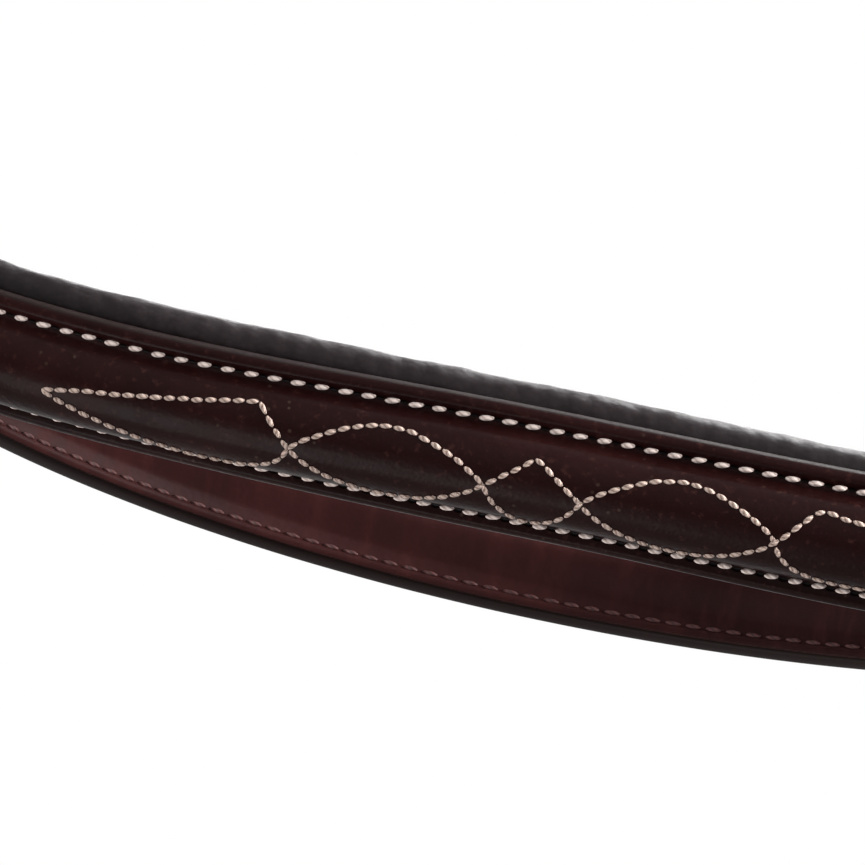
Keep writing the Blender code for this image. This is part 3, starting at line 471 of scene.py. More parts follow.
def strap_outline(width, thickness, crease=1.6, dip=0.3):
    """The cut end of a strap, as points across and outward."""
    half, rise = width / 2, thickness / 2
    rounding = min(0.9, rise * 0.7)
    top = []
    for turn in (0, 30, 60, 90):
        angle = radians(turn)
        top.append((half - rounding + rounding * cos(angle), rise - rounding + rounding * sin(angle)))
    top += [(half - crease + 0.35, rise), (half - crease, rise - dip), (half - crease - 0.4, rise)]
    top.append(((half - crease) / 2, rise))
    lower = [(-y, -z) for y, z in top[:4]]
    return both_halves(top) + both_halves(lower)


def extruded(outline, length, pitch):
    """A flat piece made from the outline of its end, cut crosswise at a pitch."""
    shape = bmesh.new()
    end = shape.faces.new([shape.verts.new((0, y, z)) for y, z in outline])
    made = bmesh.ops.extrude_face_region(shape, geom=[end])
    moved = [part for part in made["geom"] if isinstance(part, bmesh.types.BMVert)]
    bmesh.ops.translate(shape, vec=(length, 0, 0), verts=moved)
    long_edges = [edge for edge in shape.edges if abs(edge.verts[0].co.x - edge.verts[1].co.x) > length / 2]
    bmesh.ops.subdivide_edges(shape, edges=long_edges, cuts=max(int(length / pitch), 1))
    bmesh.ops.recalc_face_normals(shape, faces=shape.faces)
    return shape


print("a strap's cut end has", len(strap_outline(15, 3)), "corners")


# %% Crosscuts, tips and holes
def crosscut(shape, places):
    """Adds crosswise cuts at lengths along a flat piece."""
    for place in places:
        parts = list(shape.verts) + list(shape.edges) + list(shape.faces)
        bmesh.ops.bisect_plane(shape, geom=parts, plane_co=(place, 0, 0), plane_no=(1, 0, 0))


def stretched(shape, places, widths, thicknesses):
    """Scales a flat piece across and outward by shares given at lengths along it."""
    for vert in shape.verts:
        vert.co.y *= np.interp(vert.co.x, places, widths)
        vert.co.z *= np.interp(vert.co.x, places, thicknesses)


def tip(shape, end, way, reach):
    """Rounds the end of a flat strap to an oval tip. Way is 1 where the tip is at the far end."""
    shares = (0.25, 0.45, 0.62, 0.75, 0.85, 0.93, 0.975, 0.995)
    crosscut(shape, [end - way * reach * (1 - share) for share in shares])
    for vert in shape.verts:
        share = 1 - way * (end - vert.co.x) / reach
        if share > 0:
            vert.co.y *= max(sqrt(max(1 - share**2, 0)), 0.1)
            vert.co.z *= 1 - 0.45 * share**3


def punched(shape, holes):
    """Punches slots through a flat strap: each has a middle, a length and a width."""
    tool = bmesh.new()
    for middle, length, width in holes:
        round_end = Matrix.Translation((middle, 0, 0)) @ Matrix.Diagonal((length / width, 1, 1, 1))
        bmesh.ops.create_cone(tool, cap_ends=True, segments=24, radius1=width / 2, radius2=width / 2,
                              depth=20, matrix=round_end)
    pieces = []
    for each in (shape, tool):
        mesh = bpy.data.meshes.new("punching")
        each.to_mesh(mesh)
        each.free()
        pieces.append(bpy.data.objects.new("punching", mesh))
        bpy.context.scene.collection.objects.link(pieces[-1])
    step = pieces[0].modifiers.new("punch", "BOOLEAN")
    step.object, step.operation, step.solver = pieces[1], "DIFFERENCE", "EXACT"
    depsgraph = bpy.context.evaluated_depsgraph_get()
    result = bmesh.new()
    result.from_mesh(pieces[0].evaluated_get(depsgraph).to_mesh())
    for each in pieces:
        mesh = each.data
        bpy.data.objects.remove(each)
        bpy.data.meshes.remove(mesh)
    return result


print("tips and holes can be cut")


# %% Finished pieces
def finished(name, shape, materials, body, nodes=(), corner=42):
    """Makes an object of a shape, with smooth shading up to a corner angle, and lets it ride."""
    bmesh.ops.recalc_face_normals(shape, faces=shape.faces)
    mesh = bpy.data.meshes.new(name)
    shape.to_mesh(mesh)
    shape.free()
    for material in materials:
        mesh.materials.append(material)
    mesh.polygons.foreach_set("use_smooth", [True] * len(mesh.polygons))
    mesh.set_sharp_from_angle(angle=radians(corner))
    piece = bpy.data.objects.new(name, mesh)
    bpy.context.scene.collection.objects.link(piece)
    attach(piece, body)
    if nodes:
        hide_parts(*nodes)
    return piece


def three_sides(shape, steepest=0.75):
    """Grain side, cut edge and flesh side get the materials 0, 1 and 2, while the strap is flat."""
    shape.normal_update()
    for face in shape.faces:
        if abs(face.normal.z) < steepest:
            face.material_index = 1
        elif face.normal.z < 0:
            face.material_index = 2


print("pieces can be finished")

# %% [markdown]
# ## The browband's line
#
# The browband runs level round the forehead. Its back follows a squared oval between the
# temples, which one formula gives: a superellipse. The same line carries the leather face,
# its stitches and the lining, so all of them fit each other.

# %% The browband's route
crown_width, leather_thickness, gap = 30, 3.0, 0.3
crown_play, lining_thickness, hanger_thickness = 0.6, 3.8, 2.2
hanger_lift = lining_thickness + crown_play + hanger_thickness / 2
headpiece_lift = hanger_lift + hanger_thickness / 2 + crown_play + leather_thickness / 2
band_half_span = crown_half_span + headpiece_lift - leather_thickness / 2 - gap / 2
band_reach, band_power, band_steps = 79, 3.6, 800
loop_drop, loop_leather, loop_skew_room = 11, 2.2, 7
loop_half_length = (crown_width + loop_skew_room) / 2
band_pivot = Vector((0, 0, -loop_drop))
band_start = loop_half_length + loop_leather + gap

band_points = []
for step in range(1, band_steps):
    turn = pi * step / band_steps
    deep = band_reach * sin(turn) ** (2 / band_power)
    wide = copysign(band_half_span * abs(cos(turn)) ** (2 / band_power), cos(turn))
    if deep > band_start:
        band_points.append(band_pivot + X * wide + band_forward * deep)
level_band = Route(band_points, [band_up] * len(band_points), centre=band_pivot, steps=1)
band_middle = level_band.length / 2

# The leather is not stiff. Between the middle and each loop it rolls over and sags a little.
left_roll, right_roll, right_sag = radians(-9), radians(7), 0.9
roll_rise, roll_end, roll_fall = 58, 108, 34
band_ways = []
for place, (run, outward) in enumerate(zip(level_band.runs, level_band.outward)):
    away = abs(run - band_middle)
    share = eased(clamped(away / roll_rise) * clamped((roll_end - away) / roll_fall))
    rolled = share * (left_roll if run < band_middle else right_roll)
    band_ways.append(band_up * cos(rolled) + Vector(outward) * sin(rolled))
    if run > band_middle:
        band_points[place] = band_points[place] + band_up * right_sag * share
band = Route(band_points, band_ways, centre=band_pivot, steps=1)
band_middle = float(band.nearest(level_band.at(band_middle)[0][0]))
print("the browband is", round(band.length), "mm long along its back")

# %% [markdown]
# ## The browband's leather face
#
# The face is one strip of leather, wetted and pressed over a cord. So its outline has two
# flat flanges, a steep swell between them and a shallow groove under each stitch row, where
# the tight thread bites. The swell runs out towards both ends.

# %% The face's levels
band_width, band_end_width, band_leather = 19.0, 15.0, 2.5
swell_height, swell_half, swell_runout = 5.5, 6.1, 34
stitch_row, stitch_pitch, plain_ends = 7.1, 3.175, 12
groove_depth, groove_half = 0.22, 0.55
bead_row, bead_height, bead_half = 8.5, 0.16, 0.6
face_half = band_width / 2
stitch_count = int((band.length - plain_ends) / stitch_pitch)
first_stitch = band_middle - stitch_pitch * (stitch_count - 1) / 2


def swell_share(run):
    """How far the swell has risen at a length along the band, from 0 to 1."""
    return eased(min(run, band.length - run) / swell_runout)


def width_at(run):
    return band_end_width + (band_width - band_end_width) * swell_share(run)


def spread(run, across):
    """Where a place on a flange lies once the band has its width there."""
    share = (abs(across) - swell_half) / (face_half - swell_half)
    return copysign(swell_half + share * (width_at(run) / 2 - swell_half), across)


def face_level(run, across):
    """The height of the face's grain side over the band's back."""
    rise = swell_height * swell_share(run)
    dome = max(1 - (across / swell_half) ** 2, 0) ** 0.45
    groove = groove_depth * exp(-(((abs(across) - stitch_row) / groove_half) ** 2))
    bead = bead_height * exp(-(((abs(across) - bead_row) / bead_half) ** 2))
    return band_leather + rise * dome - groove + bead


print("the swell stands", swell_height, "mm over the flanges")

# %% The face
edge_round = 0.85
face_top = [(face_half - edge_round + edge_round * cos(a), band_leather - edge_round + edge_round * sin(a))
            for a in map(radians, (0, 25, 50, 75))]
face_top += [(y, band_leather) for y in (8.5, 8.2, 7.9, 7.6, 7.35, 7.1, 6.85, 6.6, 6.35)]
face_top += [(swell_half * cos(radians(a)), band_leather) for a in range(4, 90, 8)]
face_bottom = [(-face_half, 0.9), (-face_half + 0.4, 0.15), (-face_half + 1.2, 0)]
shape = extruded(both_halves(face_top) + both_halves(face_bottom), band.length, 1.0)
pattern = shape.loops.layers.uv.new("band")
for face in shape.faces:
    for corner in face.loops:
        corner[pattern].uv = (corner.vert.co.x - band_middle, corner.vert.co.y)
for vert in shape.verts:
    run, across, level = vert.co
    if level > band_leather - 0.01:
        vert.co.z = face_level(run, across)
    if abs(across) > swell_half:
        vert.co.y = spread(run, across)
for face in shape.faces:
    cut_edge = abs(face.normal.y) > 0.8 and face.calc_center_median().z < 2
    face.material_index = 1 if cut_edge else 0
bend(shape, band)
pit_phase = (first_stitch - band_middle) / stitch_pitch + 0.5
face_leather = bridle_leather("browband_grain", (stitch_row, stitch_pitch, pit_phase))
face_piece = finished("browband_leather", shape, [face_leather, edge_leather], "browband", ["browband_face"])
print("the face has", len(face_piece.data.polygons), "faces")

# %% [markdown]
# ## Stitches
#
# Each stitch is its own little body of thread: fat in the middle, thin where it dives into the
# leather, and a little slanted, as a saddler's awl leaves it. There are hundreds, so each is
# a sphere of few faces, stretched along its direction.


# %% The stitch maker
def add_stitch(shape, start, end, out, width, height):
    """One stitch between two points in millimetres. Out is square to the leather."""
    way = (end - start) / 2
    side = way.cross(out).normalized()
    out = side.cross(way).normalized()
    axes = Matrix((side * width / 2, out * height / 2, way)).transposed().to_4x4()
    to_world = Matrix.Scale(MM, 4) @ Matrix.Translation((start + end) / 2 - poll_rest)
    if not shape.loops.layers.uv:
        shape.loops.layers.uv.new("ply")
    bmesh.ops.create_uvsphere(shape, u_segments=8, v_segments=6, radius=1, matrix=to_world @ axes,
                              calc_uvs=True)


def face_point(run, across, lift=0.0):
    """A point on the browband's grain side."""
    place, side, out = [Vector(row[0]) for row in band.at(run)]
    return place + side * across + out * (face_level(run, across) + lift)


def face_normal(run, across):
    along = face_point(run + 0.2, across) - face_point(run - 0.2, across)
    up = face_point(run, across + 0.1) - face_point(run, across - 0.1)
    return up.cross(along).normalized()


print("outward at the middle:", [round(v, 2) for v in face_normal(band_middle, 0)])

# %% The browband's border stitches
border_width, border_height, border_lift, border_lean = 0.88, 0.9, 0.02, 10
picker = random.Random(8)
shape = bmesh.new()
for side in (-1, 1):
    for number in range(stitch_count):
        run = first_stitch + number * stitch_pitch
        across = spread(run, side * stitch_row) + picker.uniform(-0.05, 0.05)
        run += picker.uniform(-0.06, 0.06)
        lean = radians(picker.gauss(border_lean, 1.5))
        half = picker.uniform(0.96, 1.08)
        reach, drift = half * cos(lean), half * sin(lean)
        start, end = [face_point(run - way * reach, across + way * drift, border_lift) for way in (1, -1)]
        add_stitch(shape, start, end, face_normal(run, across), border_width, border_height)
border = finished("browband_border_stitches", shape, [cream_thread], "browband", corner=80)
print(2 * stitch_count, "border stitches")

# %% [markdown]
# ## The fancy stitching
#
# The traditional pattern on the swell is two lines of thread that cross and part again: a
# diamond in the middle, a long lens on each side and a drawn-out point at each end. Half the
# pattern's height is a formula of the distance from the middle. Each line takes the muzzle's
# side in one cell and the crown's side in the next.

# %% The two crossing lines
half_diamond, outer_crossing, pattern_tip = 6.6, 32.8, 66.0
sharp_peak, round_peak, lens_peak, point_peak, fullness = 4.7, 5.2, 5.0, 4.9, 0.8


def pattern_height(along, on_muzzle_side):
    away = abs(along)
    if away < half_diamond:
        share = 1 - away / half_diamond
        return sharp_peak * share if on_muzzle_side else round_peak * sin(share * pi / 2) ** fullness
    if away < outer_crossing:
        share = (away - half_diamond) / (outer_crossing - half_diamond)
        return lens_peak * sin(pi * share) ** fullness
    share = min((away - outer_crossing) / (pattern_tip - outer_crossing), 1)
    if on_muzzle_side:
        return point_peak * min(share / 0.14, ((1 - share) / 0.86) ** fullness)
    return round_peak * sin(pi * share**0.6) ** 0.85


fancy_pitch, fancy_width, fancy_height, fancy_lift = 1.8, 0.72, 0.66, 0.08
drift_start, drift_reach, drift_depth = 20, 40, 0.75
shape = bmesh.new()
fancy_count = 0
cells = (-pattern_tip, -outer_crossing, -half_diamond, half_diamond, outer_crossing, pattern_tip)
for first_side in (-1, 1):
    path = []
    for number, (start, end) in enumerate(zip(cells, cells[1:])):
        side = first_side * (-1) ** number
        path += [(along, side * pattern_height(along, side < 0)) for along in np.arange(start, end, 0.05)]
    path = np.array(path)
    runs = np.r_[0, np.cumsum(np.hypot(np.diff(path[:, 0]), np.diff(path[:, 1])))]
    for run in np.arange(fancy_pitch / 2, runs[-1], fancy_pitch):
        half = picker.uniform(0.76, 0.86)
        places = np.array([run - half, run, run + half])
        alongs = np.interp(places, runs, path[:, 0]) + band_middle
        acrosses = np.interp(places, runs, path[:, 1]) + picker.uniform(-0.06, 0.06)
        acrosses = acrosses - drift_depth * clamped((band_middle - alongs[1] - drift_start) / drift_reach)
        start, end = [face_point(alongs[k], acrosses[k], fancy_lift) for k in (0, 2)]
        add_stitch(shape, start, end, face_normal(alongs[1], acrosses[1]), fancy_width, fancy_height)
        fancy_count += 1
fancy = finished("browband_fancy_stitches", shape, [fancy_thread], "browband", corner=80)
print(fancy_count, "fancy stitches")

# %% [markdown]
# ## The browband's lining
#
# Behind the leather lies a padded roll of soft calf. It is wider than the face, so it shows as
# a matte border, and it puckers a little where each stitch pulls it in. It is a closed body:
# an outline with two round lobes, carried along the band and pressed in stitch by stitch.

# %% The rolled lining
roll_middle, roll_radius, pad_depth, roll_past = 8.1, 3.2, 6.5, 1.1
lobe = [(roll_middle + roll_radius * cos(a), -roll_radius - 0.1 + 0.97 * roll_radius * sin(a))
        for a in map(radians, range(90, -91, -12))]
half_lining = [(4.0, -0.1)] + lobe + [(y, -pad_depth - 0.05) for y in (5.5, 2.0)]
shape = extruded(both_halves(half_lining), band.length, 0.8)
for vert in shape.verts:
    run, across, level = vert.co
    share = swell_share(run)
    end_half = width_at(run) / 2 + roll_past * share
    deep = band_leather + (pad_depth - band_leather) * share
    pull = 0.10 * cos(2 * pi * (run - first_stitch) / stitch_pitch)
    slack = 0.5 * ripple(run / 9, across / 6, 3.0) + 0.22 * ripple(run / 2.6, level, 0)
    upper = 0.5 + 0.5 * copysign(1, level + roll_radius + 0.1)
    puff = 1 + clamped((abs(across) - 6) / 4) * (slack - pull * upper) * 0.07
    vert.co.y = across * puff * end_half / (roll_middle + roll_radius)
    vert.co.z = level * deep / pad_depth
bend(shape, band)
band_lining = finished("browband_soft_lining", shape, [soft_leather], "browband", ["browband_lining"], 80)
print("the lining stands out", roll_past, "mm past the face")

# %% [markdown]
# ## Closed loops of leather
#
# A keeper is a narrow strip whose ends meet, stitched at the back. It is the same flat strip as
# any strap, bent along a closed route: a rounded rectangle round whatever it holds. The two
# end faces are deleted first, so that the ends can be merged into one ring.


# %% The place of a buckle, and closed strips
class Seat:
    """A place on a strap: s runs along the strap, w across it and n outward."""

    def __init__(self, heel, along, outward):
        self.heel = Vector(heel)
        self.s = Vector(along).normalized()
        self.w = Vector(outward).cross(self.s).normalized()
        self.n = self.s.cross(self.w)

    def at(self, s, w=0.0, n=0.0):
        return self.heel + self.s * s + self.w * w + self.n * n


def uncapped(outline, length, pitch):
    """An extruded shape without its end faces."""
    shape = extruded(outline, length, pitch)
    caps = [face for face in shape.faces if abs(face.normal.x) > 0.9]
    bmesh.ops.delete(shape, geom=caps, context="FACES")
    return shape


def loop_route(seat, place, half, low, high, round_off=1.5):
    """A rounded rectangle round a strap, between two levels."""
    stations = []
    for across, level, first in ((half, high, 0), (-half, high, 90), (-half, low, 180), (half, low, 270)):
        centre_w = across - copysign(round_off, across)
        centre_n = level - copysign(round_off, level - (low + high) / 2)
        for turn in (first, first + 30, first + 60, first + 90):
            angle = radians(turn)
            stations.append(seat.at(place, centre_w + round_off * cos(angle),
                                    centre_n + round_off * sin(angle)))
    centre = seat.at(place, 0, (low + high) / 2)
    return Route(stations, [seat.s] * len(stations), centre, closed=True, steps=4)


def leather_loop(node, seat, place, half, low, high, tall, thick, body="bridle"):
    """A keeper, runner or browband loop. Half, low and high are its inner sizes."""
    route = loop_route(seat, place, half + thick / 2, low - thick / 2, high + thick / 2)
    shape = uncapped(strap_outline(tall, thick, crease=1.15, dip=0.22), route.length, 0.8)
    three_sides(shape)
    bend(shape, route)
    bmesh.ops.remove_doubles(shape, verts=shape.verts, dist=0.02 * MM)
    return finished(node + "_leather", shape, strap_finishes, body, [node])


print("loops can be closed")

# %% The browband's two loops
loop_room, loop_tall = 0.5, 15
loop_half_depth = (hanger_thickness + gap + leather_thickness) / 2 + loop_room
stack_middle = (hanger_lift - hanger_thickness / 2 + headpiece_lift + leather_thickness / 2) / 2
for side, word in ((1, "left"), (-1, "right")):
    seat = Seat(band_pivot + X * side * (crown_half_span + stack_middle), band_up, X * side)
    leather_loop(f"browband_loop_{word}", seat, 0, loop_half_length, -loop_half_depth, loop_half_depth,
                 loop_tall, loop_leather, "browband")
print("the loops leave", 2 * loop_half_depth, "mm for the headpiece and the hanger")

# %% [markdown]
# ## The crown
#
# Three layers go over the poll: the soft lining, the strap that carries the noseband, and the
# headpiece. They bend at the same stations, so they stay parallel. The lining is thick in
# the middle, has a channel for the strap, and thins to a lip that is stitched to the
# headpiece near each edge.


# %% Crown stations
def crown_across(turn):
    tilt = crown_tilt * max(sin(turn), 0)
    return Vector((0, cos(tilt), -sin(tilt)))


def crown_point(turn, lift):
    """A point lifted square off the crown's underside."""
    small = radians(0.5)
    along = crown_base(turn + small) - crown_base(turn - small)
    if turn < small or turn > pi - small:
        along = Vector((0, 0, cos(turn)))
    outward = crown_across(turn).cross(along).normalized()
    if outward.dot(Vector((cos(turn), 0, sin(turn)))) < 0:
        outward.negate()
    return crown_base(turn) + outward * lift


def flipped(point):
    """The same point or direction on the horse's right."""
    return Vector((-point.x, point.y, point.z))


head_centre = Vector((0, 10, -20))
lining_turns = crown_turns[1:-1]
lining_route = Route([crown_point(turn, 0) for turn in lining_turns],
                     [crown_across(turn) for turn in lining_turns], head_centre)
print("the crown is", round(lining_route.length), "mm long over the poll")

# %% The crown's lining
lip_top = headpiece_lift - leather_thickness / 2 - gap
lip, channel, flat_half, half_crown, crown_row = 1.2, 7.3, 6.5, crown_width / 2, 13.6
lip_low, slope_start = lip_top - lip, 12.2
half_outline = [(channel, lining_thickness), (channel + 1, lip_top), (12.5, lip_top), (14.2, lip_top),
                (14.75, lip_top - 0.2), (half_crown, lip_top - 0.6), (14.75, lip_top - 1.0),
                (14.4, lip_low), (14.0, lip_low - 0.04), (crown_row, lip_low + 0.16), (13.1, lip_low - 0.12)]
for step in range(1, 11):
    share = step / 10
    drop = lip_low * (1 - cos(pi * share**0.85)) / 2
    half_outline.append((slope_start - (slope_start - flat_half) * share, lip_low - drop * 0.995))
wrinkled_below, wrinkled_half, wrinkle_fade = 3.5, 12, 4
shape = extruded(both_halves(half_outline, (0, 0)), lining_route.length, 1.2)
for vert in shape.verts:
    run, across, level = vert.co
    if level < wrinkled_below and abs(across) < wrinkled_half:
        wrinkle = ripple(run / 3.2, across / 14, 1.0) * 0.16 + ripple(run / 16, across / 9, 5.0) * 0.25
        vert.co.z += wrinkle * (1 - level / wrinkle_fade)
bend(shape, lining_route)
crown_lining = finished("crown_soft_lining", shape, [crown_leather], "bridle", ["headpiece_lining"], 50)
print("the lining has", len(crown_lining.data.polygons), "faces")

# %% The lining's stitches
crown_pitch, crown_half_stitch, crown_thread, crown_bite = 3.3, 1.3, (0.72, 0.8), 0.04
shape = bmesh.new()
for side in (-1, 1):
    for run in np.arange(crown_pitch, lining_route.length - 2, crown_pitch):
        ends = lining_route.at([run - crown_half_stitch, run + crown_half_stitch])
        start, end = [Vector(point) + Vector(across) * side * crown_row + Vector(out) * (lip_low - crown_bite)
                      for point, across, out in zip(*ends)]
        add_stitch(shape, start, end, Vector(ends[2][0]), *crown_thread)
crown_stitches = finished("crown_lining_stitches", shape, [brown_thread], "bridle", corner=80)
print("the lining is held", round(half_crown - crown_row, 1), "mm from the headpiece's edges")

# %% [markdown]
# ## Buckles
#
# Every buckle on a bridle is made the same way. A strap's thinned end wraps round the heel
# bar and is stitched back on itself. The billet comes over it, the tongue goes through the
# billet and rests on the toe bar, and two keepers hold the tail. One set of levels above the
# strap's middle serves all seven.

# %% Levels in a buckle
wire, frame_length, fold_leather, frame_play = 1.3, 14, 1.7, 0.8
tongue_radius, slot_half, slot_place, slot_play = 0.9, 2.4, 3.2, 0.45
fold_radius = wire + gap + fold_leather
bar_wrap = wire + gap + fold_leather / 2
over_fold = fold_radius + gap + leather_thickness / 2
over_body = leather_thickness + gap
under_toe = leather_thickness * 0.4
toe_level = under_toe + leather_thickness / 2 + gap + wire
tongue_ring = wire + gap + tongue_radius
tongue_top = toe_level + tongue_ring
keeper_leather, keeper_tall, keeper_play = 1.5, 6.5, 0.35
fixed_keeper_place, runner_place = 16, 29
hole_pitch, hole_width, hole_length, round_hole = 18, 3.0, 8.0, 5.0
print("a tongue rises", round(tongue_top, 2), "mm over its strap")


# %% Wire, frames and tongues
def tube(name, route, radius, body, node, sides=14):
    """Round wire along a route. A closed route gives a ring, and an open one has domed tips."""
    turns = [2 * pi * number / sides for number in range(sides)]
    circle = [(radius * cos(turn), radius * sin(turn)) for turn in turns]
    if route.ring:
        shape = uncapped(circle, route.length, radius * 0.5)
    else:
        shape = extruded(circle, route.length, radius * 0.5)
        near = [radius * 0.1, radius * 0.3]
        crosscut(shape, near + [route.length - place for place in reversed(near)])
        for vert in shape.verts:
            share = min(vert.co.x, route.length - vert.co.x, radius) / radius
            dome = sqrt(max(1 - (1 - share) ** 2, 0.02))
            vert.co.y *= dome
            vert.co.z *= dome
    bend(shape, route)
    bmesh.ops.remove_doubles(shape, verts=shape.verts, dist=0.005 * MM)
    return finished(name, shape, [polished_steel], body, [node], 60)


def wire_frame(label, seat, half):
    """A rounded rectangle of wire that climbs from the heel bar to the toe bar."""
    corner = 2 * wire
    length = hypot(frame_length, toe_level)
    slope = (seat.n * toe_level - seat.s * frame_length).normalized()
    stations = []
    for run, wide, first in ((corner, half - corner, 180), (length - corner, half - corner, 90),
                             (length - corner, corner - half, 0), (corner, corner - half, -90)):
        for turn in (first, first - 30, first - 60, first - 90):
            angle = radians(turn)
            stations.append(seat.heel + slope * (run + corner * cos(angle))
                            + seat.w * (wide + corner * sin(angle)))
    square = slope.cross(seat.w).normalized()
    centre = seat.heel + slope * length / 2
    path = Route(stations, [square] * len(stations), centre, closed=True, steps=4)
    tube(f"{label}_buckle_wire", path, wire, "bridle", f"{label}_buckle_frame")


def tongue(label, seat):
    """A wire that hooks round the heel bar and bends over to rest on the toe bar."""
    stations = [seat.at(tongue_ring * sin(angle), 0, tongue_ring * cos(angle))
                for angle in map(radians, (262, 220, 180, 140, 100, 60, 20))]
    reach = frame_length + wire + tongue_radius
    rise = tongue_top - tongue_ring
    for run, high in ((0.1, 0.02), (0.22, 0.08), (0.4, 0.42), (0.56, 0.86), (0.68, 1), (1, 1)):
        stations.append(seat.at(-reach * run, 0, tongue_ring + rise * high))
    path = Route(stations, [seat.w] * len(stations), steps=4)
    node = f"{label}_buckle_tongue"
    tube(f"{label}_tongue_wire", path, tongue_radius, node, node, 12)


def buckle(label, seat, width):
    """The frame, tongue, fixed keeper and runner of one buckle."""
    wire_frame(label, seat, width / 2 + frame_play + wire)
    tongue(label, seat)
    low, high = -leather_thickness / 2 - keeper_play, over_body + leather_thickness / 2 + keeper_play
    for part, place, body in (("keeper", fixed_keeper_place, "bridle"),
                              ("runner", runner_place, f"{label}_runner")):
        leather_loop(f"{label}_{part}", seat, place, width / 2 + keeper_play, low, high, keeper_tall,
                     keeper_leather, body)


print("buckles can be made")

# %% [markdown]
# ## Strap ends
#
# An end that wraps a bar or a ring is one route: along the back, round the metal and out along
# the front. The two layers are skived to half thickness, so together they are as thick as
# the strap. A free end, the billet's tail, climbs over its buckle and ends in an oval tip.


# %% Ends as stations: point, across, thickness, width
neck_length, neck_widening = 4.5, 8
bar_row_start, ring_row_start, row_inset, row_lift = 6, 7, 2.3, 0.02


class Fold:
    """A strap's end that wraps a bar or a ring and is stitched down on itself.

    Its line is the eye's middle and the directions along, outward and across. Back is how far
    the end is turned back. A narrow end is one that turns on a ring.
    """

    def __init__(self, line, back, width, radius=bar_wrap, narrow=None):
        self.line, self.back, self.width, self.radius, self.narrow = line, back, width, radius, narrow

    def mirror(self):
        line = [flipped(part) for part in self.line]
        return Fold(line, self.back, self.width, self.radius, self.narrow)

    def station(self, s, n, thick):
        eye, along, out, across = self.line
        wide = self.width
        if self.narrow:
            widened = eased((abs(s) - neck_length) / neck_widening)
            wide = self.narrow + (self.width - self.narrow) * widened
        return (eye + along * s + out * n, across, thick, wide)

    def stations(self):
        radius, back, skived = self.radius, self.back, leather_thickness / 2
        over = [(radius * 1.8, -radius * 0.62, fold_leather), (radius * 3.4, -skived * 0.52, skived)]
        under = [(back, -skived / 2, 0.5), (back - 4, -skived / 2, skived * 0.9), *reversed(over)]
        wrap = [(radius * cos(angle), radius * sin(angle), fold_leather)
                for angle in map(radians, (-90, -135, 180, 135, 90))]
        over = [(s, -n, thick) for s, n, thick in over]
        over += [(back - 2, skived / 2, skived), (back + 1, skived * 0.42, skived * 1.15),
                 (back + 4, 0.08, leather_thickness * 0.96), (back + 6.5, 0, leather_thickness)]
        return [self.station(*parts) for parts in under + wrap + over]

    def rows(self):
        """Two rows of stitches on each face: their ends and the outward direction."""
        eye, along, out, across = self.line
        first, width = (ring_row_start, self.narrow) if self.narrow else (bar_row_start, self.width)
        found = []
        for face in (1, -1):
            level = out * face * (leather_thickness / 2 + row_lift)
            for edge in (1, -1):
                side = across * edge * (width / 2 - row_inset)
                start, end = [eye + along * run + side + level for run in (first, self.back - 1)]
                found.append((start, end, out * face))
        return found


print("a fold's rows start", bar_row_start, "mm from its bar")


# %% Billets and plain stretches
def billet_end(seat, start, tail, width):
    """Stations of a tail that climbs over its buckle, from a start before the frame."""
    keeper = fixed_keeper_place
    stations = (
        (-2 * frame_length, 0), (-1.3 * frame_length, under_toe * 0.5), (-frame_length, under_toe),
        (-fold_radius - wire, over_fold * 0.86), (-fold_radius * 0.4, over_fold), (fold_radius, over_fold),
        (keeper - keeper_tall, over_body * 1.08), (keeper - keeper_tall * 0.6, over_body),
        ((keeper + tail) / 2, over_body), (tail, over_body),
    )
    return [(seat.at(s, 0, n), seat.w, leather_thickness, width) for s, n in stations if s > start]


def plain(points, across, width, thickness=leather_thickness):
    """Stations with the same across direction, or one for each point."""
    ways = across if isinstance(across, list) else [across] * len(points)
    return [(point, way, thickness, width) for point, way in zip(points, ways)]


def turned_back(stations):
    return list(reversed(stations))


print("strap ends are stations now")


# %% Cutting a strap
strap_pitch, tip_share = 1.6, 0.55
row_pitch, row_half_stitch, row_width, row_height = 2.8, 1.05, 0.75, 0.7


def cut_strap(stations, centre, tips=(), holes=(), slots=()):
    """Makes a strap from its stations. Holes are places and lengths, and slots are pairs of places."""
    ways = [stations[0][1]]
    for _, across, _, _ in stations[1:]:
        ways.append(-across if across.dot(ways[-1]) < 0 else across)
    route = Route([row[0] for row in stations], ways, centre)
    widest = max(row[3] for row in stations)
    shape = extruded(strap_outline(widest, leather_thickness), route.length, strap_pitch)
    stretched(shape, route.marks, [row[3] / widest for row in stations],
              [row[2] / leather_thickness for row in stations])
    for name, end, way in (("start", 0, -1), ("end", route.length, 1)):
        if name in tips:
            tip(shape, end, way, widest * tip_share)
    cuts = [(route.nearest(place), length, hole_width) for place, length in holes]
    for pair in slots:
        low, high = sorted(route.nearest(place) for place in pair)
        cuts.append(((low + high) / 2, high - low + 2, 2 * (tongue_radius + slot_play)))
    if cuts:
        shape = punched(shape, cuts)
    three_sides(shape)
    bend(shape, route)
    return shape


def tongue_holes(seat, first, last):
    """Where a billet's holes lie. Number 0 is in use and is long enough for the tongue's slope."""
    middle = -fold_radius * 0.35 - hole_length / 2
    found = []
    for number in range(first, last + 1):
        place = middle + number * hole_pitch
        level = over_fold if abs(place) < hole_length else over_body if place > 0 else 0
        found.append((seat.at(place, 0, level), round_hole if number else hole_length))
    return found


def tongue_slot(seat):
    """The slot in a fold that the tongue swings in."""
    return [seat.at(slot_place, 0, side * slot_half) for side in (-1, 1)]


def strap_piece(name, node, *shapes):
    """Joins shapes into one piece of leather."""
    whole = bmesh.new()
    for shape in shapes:
        mesh = bpy.data.meshes.new("joining")
        shape.to_mesh(mesh)
        shape.free()
        whole.from_mesh(mesh)
        bpy.data.meshes.remove(mesh)
    return finished(name, whole, strap_finishes, "bridle", [node])


